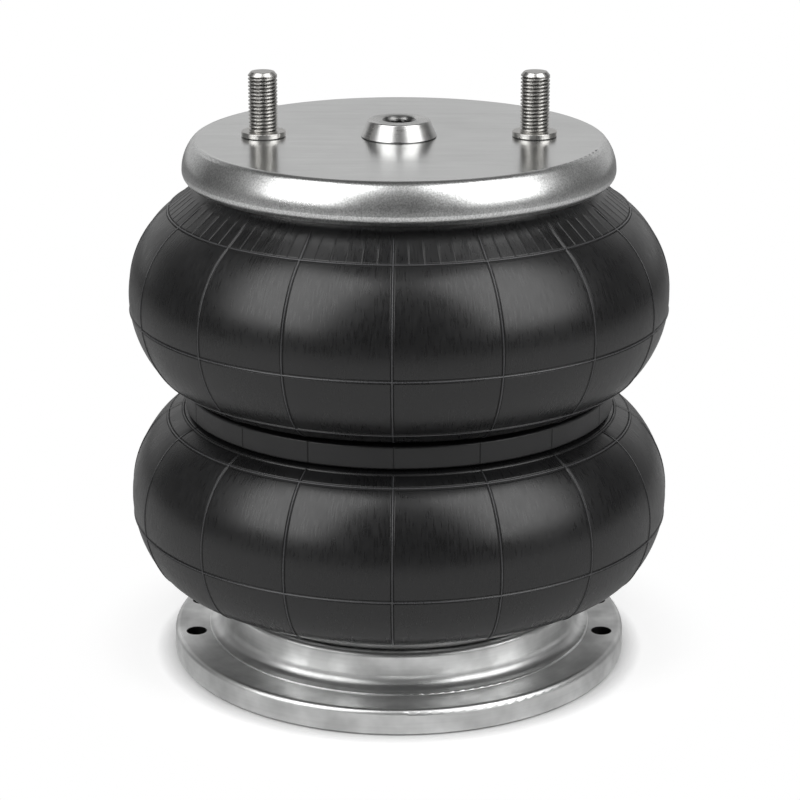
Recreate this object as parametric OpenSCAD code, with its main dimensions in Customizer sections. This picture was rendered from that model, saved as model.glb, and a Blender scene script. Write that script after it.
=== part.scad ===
// Double-convoluted air suspension spring on a flanged pedestal.
// Millimetres, +Z up. The origin is the centre of the pedestal's underside,
// X runs through the two studs and between the flange holes.

/* [Levels] */
// Outer face of the upper bead plate above the ground
plate_top_z = 225.5; // [220:0.5:235]
// Girdle plane, where the two convolutions meet
girdle_z = 116.3; // [114:0.1:119]
// Pedestal deck that carries the lower bead plate
deck_z = 27; // [26:0.5:28]
// Travel of the upper plate down to the bump stop
bump_travel = 80; // [60:1:90]

/* [Bellows] */
// Height of each crown above or below the girdle plane
crown_rise = 44.1; // [42:0.1:46]
// Outer radius of the upper convolution at its crown
crown_r = 113.4; // [100:0.1:130]
// How much further out the lower convolution swells
lower_swell = 1.2; // [0:0.1:1.5]
// Radius of the crown arc in section
crown_arc_r = 46.2; // [44:0.1:50]
// Half angle of the crown arc towards the girdle and the shoulder
crown_half = 37.5; // [34:0.5:40]
// Radius of the shoulder arc under the upper plate
shoulder_arc_r = 34; // [30:0.5:38]
// Angle at which the shoulder turns from arc to cone
shoulder_end = 51.7; // [48:0.1:56]
// Angle below the lower crown at which the foot arc starts
foot_start = 33; // [30:0.5:36]
// Radius of the foot arc over the lower bead plate
foot_arc_r = 18.3; // [17:0.1:19]
// How far the neck at the lower plate lies inside the foot arc's centre
neck_inset = 23.3; // [22:0.1:24]
// Height of the neck's fillet over the pedestal's deck
foot_round_rise = 10.2; // [9.8:0.1:10.6]
// Depth of the wall's throat inside the upper crown
throat_depth = 34.4; // [33.9:0.1:36]
// Fillet of the wall round the girdle band's inner corners
throat_round = 2.1; // [1.8:0.1:2.6]
// Height of the wall's flat above and below the girdle plane
throat_half_h = 5.1; // [4.6:0.1:5.6]
// Depth of the wall's neck at the upper plate inside the upper crown
neck_depth = 30.7; // [30:0.1:32]
// Fillet of the wall under the rolled rim
neck_round = 4; // [3:0.5:5]
// Fillet of the wall over the lower plate's curl
foot_round = 3.5; // [3.2:0.1:3.8]
// Thickness of the outer rubber cover
cover_t = 1.5; // [1.2:0.1:1.8]
// Thickness of each cord ply
ply_t = 0.9; // [0.7:0.1:1.1]
// Thickness of the inner liner
liner_t = 1.5; // [1.2:0.1:1.8]
// Bond line between layers that are cured together
bond_gap = 0.05; // [0.04:0.01:0.08]
// Section radius of the raised mould rings on the cover
ring_bead_r = 0.75; // [0.5:0.05:1]
// Distance of the shoulder's mould ring up the cone from its foot
shoulder_ring_up = 2.2; // [1:0.1:6]
// Angle of the upper ring below the upper crown
upper_ring_drop = 7.3; // [4:0.1:12]
// Angle of the ring above the girdle on the upper flank
upper_flank_drop = 45.7; // [42:0.1:55]
// Angle of the ring below the girdle on the lower flank
lower_flank_rise = 55.8; // [42:0.1:60]
// Angle of the lower ring below the lower crown
lower_ring_drop = 9.3; // [4:0.1:14]
// Height of the raised mould lines that run up the cover
rib_h = 0.45; // [0.3:0.05:0.7]
// Width of the raised mould lines
rib_w = 1.1; // [0.8:0.1:1.6]
// Number of mould lines round each convolution, in opposite pairs
rib_count = 16; // [8:2:24]
// Turn of the mould lines against the studs
rib_turn = -1.4; // [-10:0.1:10]
// Angle on the flank arcs at which the mould lines end towards the girdle
rib_end = 66; // [50:1:75]

/* [Girdle] */
// Radial thickness of the rubber band over the wall's throat
band_thick = 12; // [10:0.5:14]
// Edge rounding of the rubber band
band_edge = 0.9; // [0.5:0.1:1.5]
// Diameter of the steel girdle hoop
hoop_d = 8; // [6:0.5:8.5]
// Clearance between the band and the convolutions
band_clear = 0.3; // [0.2:0.05:0.4]

/* [Bead plates] */
// Sheet thickness of both bead plates
plate_t = 2.8; // [2.4:0.1:3.2]
// How far the upper plate's rim stands out from the wall's neck
upper_rim_over = 7.3; // [6.5:0.1:9]
// Depth of the upper rim's widest point under the plate's outer face
upper_roll_h = 12.5; // [11:0.5:13]
// Outer bend radius of the upper rim's inward curl
upper_curl_r = 4.5; // [4:0.1:5]
// How far the lower plate's rim stands out from the wall's neck
lower_rim_over = 8.8; // [8.2:0.1:9.2]
// Height of the lower rim's widest point over the plate's outer face
lower_roll_h = 6.5; // [6:0.1:7]
// Outer bend radius of the lower rim's inward curl
lower_curl_r = 5.5; // [5:0.1:5.8]
// Outer radius of the bend at the edge of a plate's flat
rim_bend_r = 3.6; // [3.5:0.1:4]
// Angle of that bend, from which the rim rolls on in a wider arc
rim_bend_turn = 50; // [40:1:55]
// Gap between a rim's curled lip and the wall that leaves it
lip_gap = 0.3; // [0.2:0.05:0.5]
// Gap between the lower lip and the wall
lower_lip_gap = 1.6; // [1.4:0.1:2]
// Gap between a rubber bead and the rim rolled round it
bead_gap = 0.1; // [0.05:0.05:0.2]
// Diameter of the bead wire bundle
wire_d = 5; // [4:0.1:5.2]
// Distance from a rim's outside to the bead wire's centre
wire_inset = 7.5; // [7:0.1:8]

/* [Studs and air inlet] */
// Distance between the two studs
stud_spacing = 112; // [100:1:120]
// Thread diameter of the studs
stud_d = 12; // [10:1:14]
// Diameter of the knurl that holds a stud in the plate
stud_knurl_d = 12.8; // [12.2:0.1:15]
// Length of the studs above the plate
stud_len = 27; // [20:1:40]
// Chamfer at the stud tips
stud_tip = 1.4; // [0.8:0.1:2]
// Diameter of the stud collars
stud_collar_d = 18.4; // [17:0.2:20]
// Height of the stud collars
stud_collar_h = 2.5; // [1.5:0.1:4]
// Diameter of the stud heads inside the plate
stud_head_d = 20; // [18:0.5:24]
// Thickness of the stud heads
stud_head_h = 3.5; // [3:0.1:5]
// Radial clearance of pressed studs and inlet in the plate
press_clear = 0.02; // [0.01:0.01:0.05]
// Diameter of the inlet boss at the plate
boss_base_d = 31.5; // [28:0.5:36]
// Diameter of the inlet boss at its top
boss_top_d = 25.5; // [22:0.5:27]
// Height of the inlet boss above the plate
boss_h = 7; // [5:0.5:12]
// Diameter of the inlet boss's spigot, which ends flush under the plate
spigot_d = 19; // [17:0.5:20]
// Core diameter of the inlet's pipe thread
port_d = 11.45; // [10:0.05:13]
// Diameter of the countersink at the mouth of the inlet
port_mouth_d = 13.8; // [13.2:0.1:16]

/* [Pedestal] */
// How far the flange stands out past the pedestal's neck
flange_over = 20.7; // [18:0.1:24]
// Thickness of the flange
flange_h = 10.9; // [9:0.1:13]
// Edge rounding on top of the flange
flange_bevel = 2.2; // [1.5:0.1:3]
// Small chamfer on sharp cast edges
edge_chamfer = 0.8; // [0.5:0.1:1.2]
// How far the raised ring stands out past the cove at the neck's foot
ridge_over = 0.7; // [0.7:0.1:1.5]
// Height of the raised ring, and the rounding of its edge
ridge_h = 0.7; // [0.4:0.1:1]
// Radius of the cove at the neck's foot
cove_r = 5.3; // [4:0.1:6.5]
// Edge rounding of the deck
deck_round = 2.5; // [1.5:0.1:3]
// Thickness of the deck
deck_t = 8; // [7:0.5:10]
// Wall between the neck and the pocket under the deck, at the ground
pocket_wall = 8.5; // [7.5:0.5:12]
// Draft of the pocket's wall over its height
pocket_draft = 1.5; // [0.5:0.1:3]
// Distance of the four flange holes from the flange's edge
hole_edge = 8.6; // [8:0.1:9.5]
// Angle of the flange holes from the X axis
hole_turn = 11; // [8:0.5:16]
// Diameter of the flange holes
hole_d = 8.5; // [6:0.5:9]
// Height of the ribs and hub under the deck
deck_rib_h = 5.5; // [3:0.5:7]
// Width of the ribs under the deck
deck_rib_w = 5; // [3:0.5:7]
// Number of ribs under the deck
deck_ribs = 8; // [4:4:12]
// Radius of the deck's centre hole
deck_hole_r = 15; // [14:0.5:17]
// Wall of the hub round the centre hole
hub_t = 6; // [4:0.5:8]

/* [Pedestal screws] */
// Number of screws that hold the lower bead plate
screw_count = 4; // [3:1:6]
// Room between the closed nuts and the lower bead
nut_room = 3.35; // [2.5:0.05:6]
// Thread diameter of the screws
screw_d = 8; // [6:1:8]
// Length under the head
screw_len = 20; // [18:1:22]
// Width across flats of the heads
screw_af = 13; // [10:0.5:14]
// Height of the heads
screw_head_h = 5.3; // [4:0.1:6]
// Radial clearance of screws in plain holes
screw_clear = 0.5; // [0.3:0.05:0.6]
// Radial clearance of screws in their nuts
thread_clear = 0.02; // [0.01:0.01:0.05]
// Outer diameter of the washers
washer_d = 16; // [15:0.5:18]
// Thickness of the washers
washer_t = 1.6; // [1.2:0.1:2]
// Diameter of the closed nuts inside the chamber
nut_d = 17; // [14:0.5:18]
// Height of the closed nuts
nut_h = 12; // [11:0.5:14]
// Closed end of the blind nuts
nut_end = 2; // [1.5:0.1:2.5]

/* [Bump stop] */
// Room between the bump stop's foot and the closed nuts
bump_room = 7.5; // [5:0.5:12]
// How much narrower the bump stop is at its top
bump_taper = 9; // [4:0.5:12]
// Edge rounding of the bump stop
bump_edge = 4; // [2:0.5:6]
// Section radius of the grooves round the bump stop
groove_r = 7; // [5:0.5:8]
// Number of grooves
groove_count = 3; // [2:1:4]
// Gap left above the bump stop at the end of its travel
bump_clear = 0.4; // [0.3:0.1:1]
// Radius of the bore down the bump stop
bump_bore_r = 11; // [10.5:0.5:13]
// Thickness of the steel plate moulded under the bump stop
bump_plate_t = 4; // [3:0.5:5]
// Thread diameter of the bump stop's screw
bolt_d = 10; // [8:1:12]
// Length of that screw under its head
bolt_len = 18; // [16:1:19]
// Diameter of its head
bolt_head_d = 16; // [13:0.5:18]
// Height of its head
bolt_head_h = 10; // [8:0.5:12]
// Width across flats of its hexagon socket
bolt_socket_af = 8; // [6:0.5:9]
// Depth of the hexagon socket
bolt_socket_h = 5; // [4:0.5:6]
// Diameter of its washer
bolt_washer_d = 20; // [18:0.5:20.5]
// Thickness of its washer
bolt_washer_t = 2; // [1.5:0.1:3]
// Diameter of the closed nut under the lower bead plate
bolt_nut_d = 26; // [22:0.5:27]
// Height of that nut
bolt_nut_h = 15; // [14:0.5:17]

/* [Hidden] */
$fn = 96;
BIG = 400;
// Steps of the wall's arcs in section
CROWN_STEPS = 15;
FLANK_STEPS = 10;
SHOULDER_STEPS = 4;
FOOT_STEPS = 9;
SOLE_STEPS = 3;
FILLET_STEPS = 6;
RIB_STEPS = 6;

wall_t = cover_t + 2 * ply_t + liner_t + 3 * bond_gap;
// How far each layer's outside lies under the outside of the wall
outer_ply_o = cover_t + bond_gap;
inner_ply_o = outer_ply_o + ply_t + bond_gap;
liner_o = inner_ply_o + ply_t + bond_gap;

function polar(c, r, a) = [c[0] + r * cos(a), c[1] + r * sin(a)];
// Metal is made to whole tenths of a millimetre
function tenth(x) = round(10 * x) / 10;

lower_crown_r = crown_r + lower_swell;
throat_r = crown_r - throat_depth;
neck_r = crown_r - neck_depth;

// Centres of the wall's arcs, as [radius, height] in the section
upper_crown_c = [crown_r - crown_arc_r, girdle_z + crown_rise];
lower_crown_c = [lower_crown_r - crown_arc_r, girdle_z - crown_rise];
// The flank arc starts on the crown arc and ends level at the throat
flank_arc_r = (crown_rise - throat_half_h - crown_arc_r * sin(crown_half)) / (1 - sin(crown_half));
upper_flank_c = polar(upper_crown_c, crown_arc_r - flank_arc_r, -crown_half);
lower_flank_c = polar(lower_crown_c, crown_arc_r - flank_arc_r, crown_half);
shoulder_c = polar(upper_crown_c, crown_arc_r - shoulder_arc_r, crown_half);
foot_c = polar(lower_crown_c, crown_arc_r - foot_arc_r, -foot_start);
lower_neck_r = foot_c[0] - neck_inset;
foot_round_c = [lower_neck_r + foot_round, deck_z + foot_round_rise];
// The sole runs inwards from the foot arc's lowest point as a flat arc that touches the neck's fillet
sole_run = foot_c[0] - foot_round_c[0];
sole_rise = foot_c[1] - foot_arc_r - foot_round_c[1];
sole_r = (pow(sole_run, 2) + pow(sole_rise, 2) - pow(foot_round, 2)) / (2 * (foot_round - sole_rise));
sole_c = [foot_c[0], foot_c[1] - foot_arc_r + sole_r];
sole_turn = asin(sole_run / (sole_r + foot_round));
throat_c_r = throat_r + throat_round;
upper_throat_c = [throat_c_r, girdle_z + throat_half_h - throat_round];
lower_throat_c = [throat_c_r, girdle_z - throat_half_h + throat_round];

upper_rim_r = tenth(neck_r + upper_rim_over);
lower_rim_r = tenth(lower_neck_r + lower_rim_over);
upper_rim_h = upper_roll_h + upper_curl_r;
lower_rim_h = lower_roll_h + lower_curl_r;
rim_end_z = plate_top_z - upper_rim_h;
neck_c = [neck_r + neck_round, rim_end_z];
// The shoulder runs on as a cone from its arc to the neck's fillet
cone_low = polar(shoulder_c, shoulder_arc_r, shoulder_end);
cone_high = polar(neck_c, neck_round, 180 + shoulder_end);
shoulder_ring_c = cone_low + shoulder_ring_up * (cone_high - cone_low) / norm(cone_high - cone_low);
plate_under_z = plate_top_z - plate_t;
lower_plate_top_z = deck_z + plate_t;
// Faces of the rubber beads that the wall's layers butt against
upper_bead_z = rim_end_z + plate_t + bead_gap;
lower_bead_z = deck_z + lower_rim_h - plate_t - bead_gap;

band_r = tenth(throat_r + band_thick);
hoop_r = (throat_r + band_clear + band_r) / 2;

// The pedestal's neck is flush with the rim of the plate that stands on it
pedestal_r = lower_rim_r;
cove_c = [pedestal_r + cove_r, flange_h + ridge_h + cove_r];
ridge_r = cove_c[0] + ridge_over;
flange_r = pedestal_r + flange_over;
pocket_r = pedestal_r - pocket_wall;
hole_x = tenth((flange_r - hole_edge) * cos(hole_turn));
hole_y = tenth((flange_r - hole_edge) * sin(hole_turn));
deck_under_z = deck_z - deck_t;
screw_circle_r = tenth(lower_neck_r - wall_t - nut_room - nut_d / 2);
bump_foot_r = screw_circle_r - nut_d / 2 - bump_room;
bump_top_r = bump_foot_r - bump_taper;
screw_seat_z = deck_under_z - washer_t;
bump_foot_z = lower_plate_top_z + bump_plate_t;
bump_top_z = plate_under_z - bump_travel - bump_clear;
bolt_seat_z = bump_foot_z + bolt_washer_t;

STEEL = [0.72, 0.73, 0.74];
BRIGHT = [0.82, 0.82, 0.82];
RUBBER = [0.13, 0.13, 0.14];
CORD = [0.55, 0.48, 0.36];

// A slice of a disc round c, from angle a0 to a1
module pie(c, r, a0, a1) {
  intersection() {
    translate(c) circle(r);
    polygon([c, polar(c, 2 * r, a0), polar(c, 3 * r, (a0 + a1) / 2), polar(c, 2 * r, a1)]);
  }
}

// Points of an arc round c, from angle a0 to a1 in n steps
function arc(c, r, a0, a1, n) = [for (i = [0 : n]) polar(c, r, a0 + (a1 - a0) * i / n)];
// The same without its first point, to carry on from an arc that ends there
function arc_on(c, r, a0, a1, n) = [for (i = [1 : n]) polar(c, r, a0 + (a1 - a0) * i / n)];
function backwards(points) = [for (i = [len(points) - 1 : -1 : 0]) points[i]];

// Outline of the upper convolution, from the girdle up to the bead, o under its outside
function upper_path(o) = concat(
  [[throat_r - o, girdle_z + bond_gap / 2]],
  arc(upper_throat_c, throat_round + o, 180, 90, FILLET_STEPS),
  arc(upper_flank_c, flank_arc_r - o, -90, -crown_half, FLANK_STEPS),
  arc_on(upper_crown_c, crown_arc_r - o, -crown_half, crown_half, CROWN_STEPS),
  arc_on(shoulder_c, shoulder_arc_r - o, crown_half, shoulder_end, SHOULDER_STEPS),
  arc(neck_c, neck_round + o, 180 + shoulder_end, 180, FILLET_STEPS),
  [[neck_r - o, upper_bead_z - bond_gap]]
);

// Outline of the lower convolution, from the girdle down to the bead, o under its outside
function lower_path(o) = concat(
  [[throat_r - o, girdle_z - bond_gap / 2]],
  arc(lower_throat_c, throat_round + o, 180, 270, FILLET_STEPS),
  arc(lower_flank_c, flank_arc_r - o, 90, crown_half, FLANK_STEPS),
  arc_on(lower_crown_c, crown_arc_r - o, crown_half, -foot_start, CROWN_STEPS),
  arc_on(foot_c, foot_arc_r - o, -foot_start, -90, FOOT_STEPS),
  arc_on(sole_c, sole_r - o, -90, -90 - sole_turn, SOLE_STEPS),
  arc_on(foot_round_c, foot_round + o, 90 - sole_turn, 180, FILLET_STEPS),
  [[lower_neck_r - o, lower_bead_z + bond_gap]]
);

// The parts of those outlines that carry mould lines
function upper_rib_path(o) = concat(
  arc(upper_flank_c, flank_arc_r - o, -rib_end, -crown_half, RIB_STEPS),
  arc_on(upper_crown_c, crown_arc_r - o, -crown_half, crown_half, CROWN_STEPS),
  arc_on(shoulder_c, shoulder_arc_r - o, crown_half, shoulder_end, SHOULDER_STEPS),
  [polar(neck_c, neck_round + o, 180 + shoulder_end)]
);
function lower_rib_path(o) = concat(
  arc(lower_flank_c, flank_arc_r - o, rib_end, crown_half, RIB_STEPS),
  arc_on(lower_crown_c, crown_arc_r - o, crown_half, -foot_start, CROWN_STEPS),
  arc_on(foot_c, foot_arc_r - o, -foot_start, -90, RIB_STEPS)
);

// One layer of a wall, between its outer and its inner outline
module layer_section(outside, inside) {
  polygon(concat(outside, backwards(inside)));
}

module upper_layer(o, t) {
  rotate_extrude() layer_section(upper_path(o), upper_path(o + t));
}

// The lower outlines run the other way, so the inner one comes first
module lower_layer(o, t) {
  rotate_extrude() layer_section(lower_path(o + t), lower_path(o));
}

// Section of a pressed dish: everything inside its outer face, o under it.
// Its outer face is at 0. Its rim rises from there in a tight bend, a wide roll
// that ends upright at roll_h, and a curl.
module dish(rim_r, roll_h, curl_r, o) {
  rim_h = roll_h + curl_r;
  roll_a = rim_bend_turn - 90;
  roll_r = rim_bend_r + (roll_h - rim_bend_r) / cos(rim_bend_turn);
  roll_c = [rim_r - roll_r, roll_h];
  bend_c = polar(roll_c, roll_r - rim_bend_r, roll_a);
  curl_c = [rim_r - curl_r, roll_h];
  polygon([
    [0, o],
    [bend_c[0], o],
    bend_c,
    roll_c,
    curl_c,
    [curl_c[0], rim_h - o],
    [0, rim_h - o]
  ]);
  pie(bend_c, rim_bend_r - o, -90, roll_a);
  pie(roll_c, roll_r - o, roll_a, 0);
  pie(curl_c, curl_r - o, 0, 90);
}

// Section of a bead plate: a dish of sheet whose rim is rolled in to lip_in
module bead_plate_section(rim_r, roll_h, curl_r, lip_in) {
  difference() {
    dish(rim_r, roll_h, curl_r, 0);
    dish(rim_r, roll_h, curl_r, plate_t);
    translate([0, plate_t]) square([lip_in, BIG]);
  }
}

// Section of the rubber bead that fills such a rim, from toe_r outwards
module bead_section(rim_r, roll_h, curl_r, toe_r) {
  difference() {
    dish(rim_r, roll_h, curl_r, plate_t + bead_gap);
    translate([0, -1]) square([toe_r, BIG]);
    translate([rim_r - wire_inset, (roll_h + curl_r) / 2]) circle(d = wire_d + 2 * bond_gap);
  }
}

// Puts a section made from its outer face up into the upper plate's place
module under_top() {
  translate([0, 0, plate_top_z]) mirror([0, 0, 1]) children();
}

module at_screws() {
  for (i = [0 : screw_count - 1])
    rotate(45 + i * 360 / screw_count)
      translate([screw_circle_r, 0, 0]) children();
}

module pedestal_section() {
  bevel_c = [flange_r - flange_bevel, flange_h - flange_bevel];
  round_c = [pedestal_r - deck_round, deck_z - deck_round];
  difference() {
    union() {
      polygon([
        [0, 0],
        [flange_r - edge_chamfer, 0],
        [flange_r, edge_chamfer],
        [flange_r, bevel_c[1]],
        bevel_c,
        [bevel_c[0], flange_h],
        [0, flange_h]
      ]);
      pie(bevel_c, flange_bevel, 0, 90);
      square([ridge_r - ridge_h, flange_h + ridge_h]);
      pie([ridge_r - ridge_h, flange_h], ridge_h, 0, 90);
      difference() {
        square(cove_c);
        translate(cove_c) circle(cove_r);
      }
      square([pedestal_r, round_c[1]]);
      square([round_c[0], deck_z]);
      pie(round_c, deck_round, 0, 90);
    }
    polygon([
      [0, -1],
      [pocket_r, -1],
      [pocket_r, 0],
      [pocket_r - pocket_draft, deck_under_z],
      [0, deck_under_z]
    ]);
    square([deck_hole_r, BIG]);
  }
}

module pedestal() {
  color(STEEL) difference() {
    union() {
      rotate_extrude() pedestal_section();
      translate([0, 0, deck_under_z - deck_rib_h])
        difference() {
          cylinder(r = deck_hole_r + hub_t, h = deck_rib_h + 1);
          translate([0, 0, -1]) cylinder(r = deck_hole_r, h = deck_rib_h + 3);
        }
      for (i = [0 : deck_ribs - 1])
        rotate((i + 0.5) * 360 / deck_ribs)
          translate([deck_hole_r + hub_t / 2, -deck_rib_w / 2, deck_under_z - deck_rib_h])
            cube([pocket_r - deck_hole_r - hub_t / 2, deck_rib_w, deck_rib_h + 1]);
    }
    for (x = [-hole_x, hole_x], y = [-hole_y, hole_y])
      translate([x, y, -1]) cylinder(d = hole_d, h = flange_h + 2);
    at_screws()
      translate([0, 0, deck_under_z - 1])
        cylinder(d = screw_d + 2 * screw_clear, h = deck_t + 2);
  }
}

module pedestal_screws() {
  color(BRIGHT) at_screws() {
    translate([0, 0, screw_seat_z - screw_head_h])
      cylinder(d = screw_af / cos(30), h = screw_head_h, $fn = 6);
    translate([0, 0, screw_seat_z - 1]) cylinder(d = screw_d, h = screw_len + 1);
  }
}

module pedestal_washers() {
  color(BRIGHT) at_screws() translate([0, 0, screw_seat_z]) difference() {
    cylinder(d = washer_d, h = washer_t);
    translate([0, 0, -1]) cylinder(d = screw_d + screw_clear, h = washer_t + 2);
  }
}

module lower_bead_plate() {
  color(STEEL) difference() {
    translate([0, 0, deck_z])
      rotate_extrude()
        bead_plate_section(lower_rim_r, lower_roll_h, lower_curl_r, lower_neck_r + lower_lip_gap);
    translate([0, 0, deck_z - 1]) cylinder(d = bolt_d + screw_clear, h = plate_t + 2);
    at_screws()
      translate([0, 0, deck_z - 1]) cylinder(d = screw_d + screw_clear, h = plate_t + 2);
  }
}

module lower_plate_nuts() {
  color(BRIGHT) at_screws() translate([0, 0, lower_plate_top_z]) difference() {
    cylinder(d = nut_d, h = nut_h);
    translate([0, 0, -1]) cylinder(d = screw_d + 2 * thread_clear, h = nut_h - nut_end + 1);
  }
}

module lower_bead() {
  color(RUBBER) translate([0, 0, deck_z]) rotate_extrude()
    bead_section(lower_rim_r, lower_roll_h, lower_curl_r, lower_neck_r - wall_t);
}

module bead_wire(rim_r, rim_h) {
  rotate_extrude() translate([rim_r - wire_inset, rim_h / 2]) circle(d = wire_d);
}

module lower_bead_wire() {
  color(BRIGHT) translate([0, 0, deck_z]) bead_wire(lower_rim_r, lower_rim_h);
}

module bump_nut() {
  color(BRIGHT) translate([0, 0, deck_z - bolt_nut_h]) difference() {
    cylinder(d = bolt_nut_d, h = bolt_nut_h);
    translate([0, 0, nut_end]) cylinder(d = bolt_d + 2 * thread_clear, h = bolt_nut_h);
  }
}

module bump_plate() {
  color(STEEL) translate([0, 0, lower_plate_top_z]) difference() {
    cylinder(r = bump_foot_r, h = bump_plate_t);
    translate([0, 0, -1]) cylinder(d = bolt_d + screw_clear, h = bump_plate_t + 2);
  }
}

// A tapered rubber buffer with rounded grooves, hollow down the middle
module bump_stop() {
  height = bump_top_z - bump_foot_z - bond_gap;
  step = height / (groove_count + 1);
  color(RUBBER) translate([0, 0, bump_foot_z + bond_gap]) rotate_extrude() difference() {
    union() {
      polygon([
        [bump_bore_r, 0],
        [bump_foot_r, 0],
        [bump_foot_r, bump_edge],
        [bump_top_r, height - bump_edge],
        [bump_top_r - bump_edge, height - bump_edge],
        [bump_top_r - bump_edge, height],
        [bump_bore_r, height]
      ]);
      pie([bump_top_r - bump_edge, height - bump_edge], bump_edge, 0, 90);
    }
    for (i = [1 : groove_count])
      translate([bump_foot_r - i * step * (bump_foot_r - bump_top_r) / height + groove_r / 3, i * step])
        circle(groove_r);
  }
}

module bump_washer() {
  color(BRIGHT) translate([0, 0, bump_foot_z]) difference() {
    cylinder(d = bolt_washer_d, h = bolt_washer_t);
    translate([0, 0, -1]) cylinder(d = bolt_d + screw_clear, h = bolt_washer_t + 2);
  }
}

module bump_screw() {
  color(BRIGHT) difference() {
    union() {
      translate([0, 0, bolt_seat_z]) cylinder(d = bolt_head_d, h = bolt_head_h);
      translate([0, 0, bolt_seat_z - bolt_len]) cylinder(d = bolt_d, h = bolt_len + 1);
    }
    translate([0, 0, bolt_seat_z + bolt_head_h - bolt_socket_h])
      cylinder(d = bolt_socket_af / cos(30), h = bolt_socket_h + 1, $fn = 6);
  }
}

// Raised ring on the arc of radius r round c, at angle a
module mould_ring(c, r, a) {
  translate(polar(c, r - ring_bead_r / 3, a)) circle(ring_bead_r);
}

// Raised lines left by the mould's joints: a skin over the outer half of the
// cover, cut by one slab for each opposite pair of lines
module mould_lines() {
  intersection() {
    rotate_extrude() children();
    for (i = [0 : rib_count / 2 - 1])
      rotate(rib_turn + i * 360 / rib_count)
        translate([-BIG / 2, -rib_w / 2, 0]) cube([BIG, rib_w, BIG]);
  }
}

module lower_cover() {
  color(RUBBER) {
    rotate_extrude() {
      layer_section(lower_path(cover_t), lower_path(0));
      mould_ring(lower_flank_c, flank_arc_r, lower_flank_rise);
      mould_ring(lower_crown_c, crown_arc_r, -lower_ring_drop);
    }
    mould_lines() layer_section(lower_rib_path(cover_t / 2), lower_rib_path(-rib_h));
  }
}

module lower_outer_ply() {
  color(CORD) lower_layer(outer_ply_o, ply_t);
}

module lower_inner_ply() {
  color(CORD) lower_layer(inner_ply_o, ply_t);
}

module lower_liner() {
  color(RUBBER) lower_layer(liner_o, liner_t);
}

module girdle_hoop() {
  color(BRIGHT) translate([0, 0, girdle_z]) rotate_extrude()
    translate([hoop_r, 0]) circle(d = hoop_d);
}

// The band's inner corners follow the wall that turns round them
module girdle_band() {
  inner_r = throat_r + band_clear;
  corner_r = throat_round - band_clear;
  half_h = throat_half_h - band_clear;
  upper_c = [throat_c_r, half_h - corner_r];
  lower_c = [throat_c_r, corner_r - half_h];
  color(RUBBER) translate([0, 0, girdle_z]) rotate_extrude() difference() {
    union() {
      polygon([
        [inner_r, lower_c[1]],
        lower_c,
        [throat_c_r, -half_h],
        [band_r - band_edge, -half_h],
        [band_r, band_edge - half_h],
        [band_r, half_h - band_edge],
        [band_r - band_edge, half_h],
        [throat_c_r, half_h],
        upper_c,
        [inner_r, upper_c[1]]
      ]);
      pie(upper_c, corner_r, 90, 180);
      pie(lower_c, corner_r, 180, 270);
    }
    translate([hoop_r, 0]) circle(d = hoop_d + 2 * bond_gap);
  }
}

module upper_cover() {
  color(RUBBER) {
    rotate_extrude() {
      layer_section(upper_path(0), upper_path(cover_t));
      translate(shoulder_ring_c) circle(ring_bead_r);
      mould_ring(upper_crown_c, crown_arc_r, -upper_ring_drop);
      mould_ring(upper_flank_c, flank_arc_r, -upper_flank_drop);
    }
    mould_lines() layer_section(upper_rib_path(-rib_h), upper_rib_path(cover_t / 2));
  }
}

module upper_outer_ply() {
  color(CORD) upper_layer(outer_ply_o, ply_t);
}

module upper_inner_ply() {
  color(CORD) upper_layer(inner_ply_o, ply_t);
}

module upper_liner() {
  color(RUBBER) upper_layer(liner_o, liner_t);
}

module upper_bead() {
  color(RUBBER) under_top() rotate_extrude()
    bead_section(upper_rim_r, upper_roll_h, upper_curl_r, neck_r - wall_t);
}

module upper_bead_wire() {
  color(BRIGHT) under_top() bead_wire(upper_rim_r, upper_rim_h);
}

module upper_bead_plate() {
  color(STEEL) difference() {
    under_top() rotate_extrude()
      bead_plate_section(upper_rim_r, upper_roll_h, upper_curl_r, neck_r + lip_gap);
    translate([0, 0, plate_under_z - 1])
      cylinder(d = spigot_d + 2 * press_clear, h = plate_t + 2);
    for (side = [-1, 1])
      translate([side * stud_spacing / 2, 0, plate_under_z - 1])
        cylinder(d = stud_knurl_d + 2 * press_clear, h = plate_t + 2);
  }
}

// A turned boss with a countersunk pipe thread right through into the chamber
module inlet_boss() {
  mouth_h = (port_mouth_d - port_d) / 2;
  color(BRIGHT) translate([0, 0, plate_top_z]) rotate_extrude() polygon([
    [port_d / 2, -plate_t],
    [spigot_d / 2, -plate_t],
    [spigot_d / 2, 0],
    [boss_base_d / 2, 0],
    [boss_top_d / 2, boss_h],
    [port_mouth_d / 2, boss_h],
    [port_d / 2, boss_h - mouth_h]
  ]);
}

// A stud pressed through the plate: head inside, collar and thread outside
module mounting_studs() {
  collar_edge = stud_collar_h / 4;
  color(BRIGHT) for (side = [-1, 1])
    translate([side * stud_spacing / 2, 0, plate_top_z]) rotate_extrude() polygon([
      [0, -plate_t - stud_head_h],
      [stud_head_d / 2, -plate_t - stud_head_h],
      [stud_head_d / 2, -plate_t],
      [stud_knurl_d / 2, -plate_t],
      [stud_knurl_d / 2, 0],
      [stud_collar_d / 2, 0],
      [stud_collar_d / 2, stud_collar_h - collar_edge],
      [stud_collar_d / 2 - collar_edge, stud_collar_h],
      [stud_d / 2, stud_collar_h],
      [stud_d / 2, stud_len - stud_tip],
      [stud_d / 2 - stud_tip, stud_len],
      [0, stud_len]
    ]);
}

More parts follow.
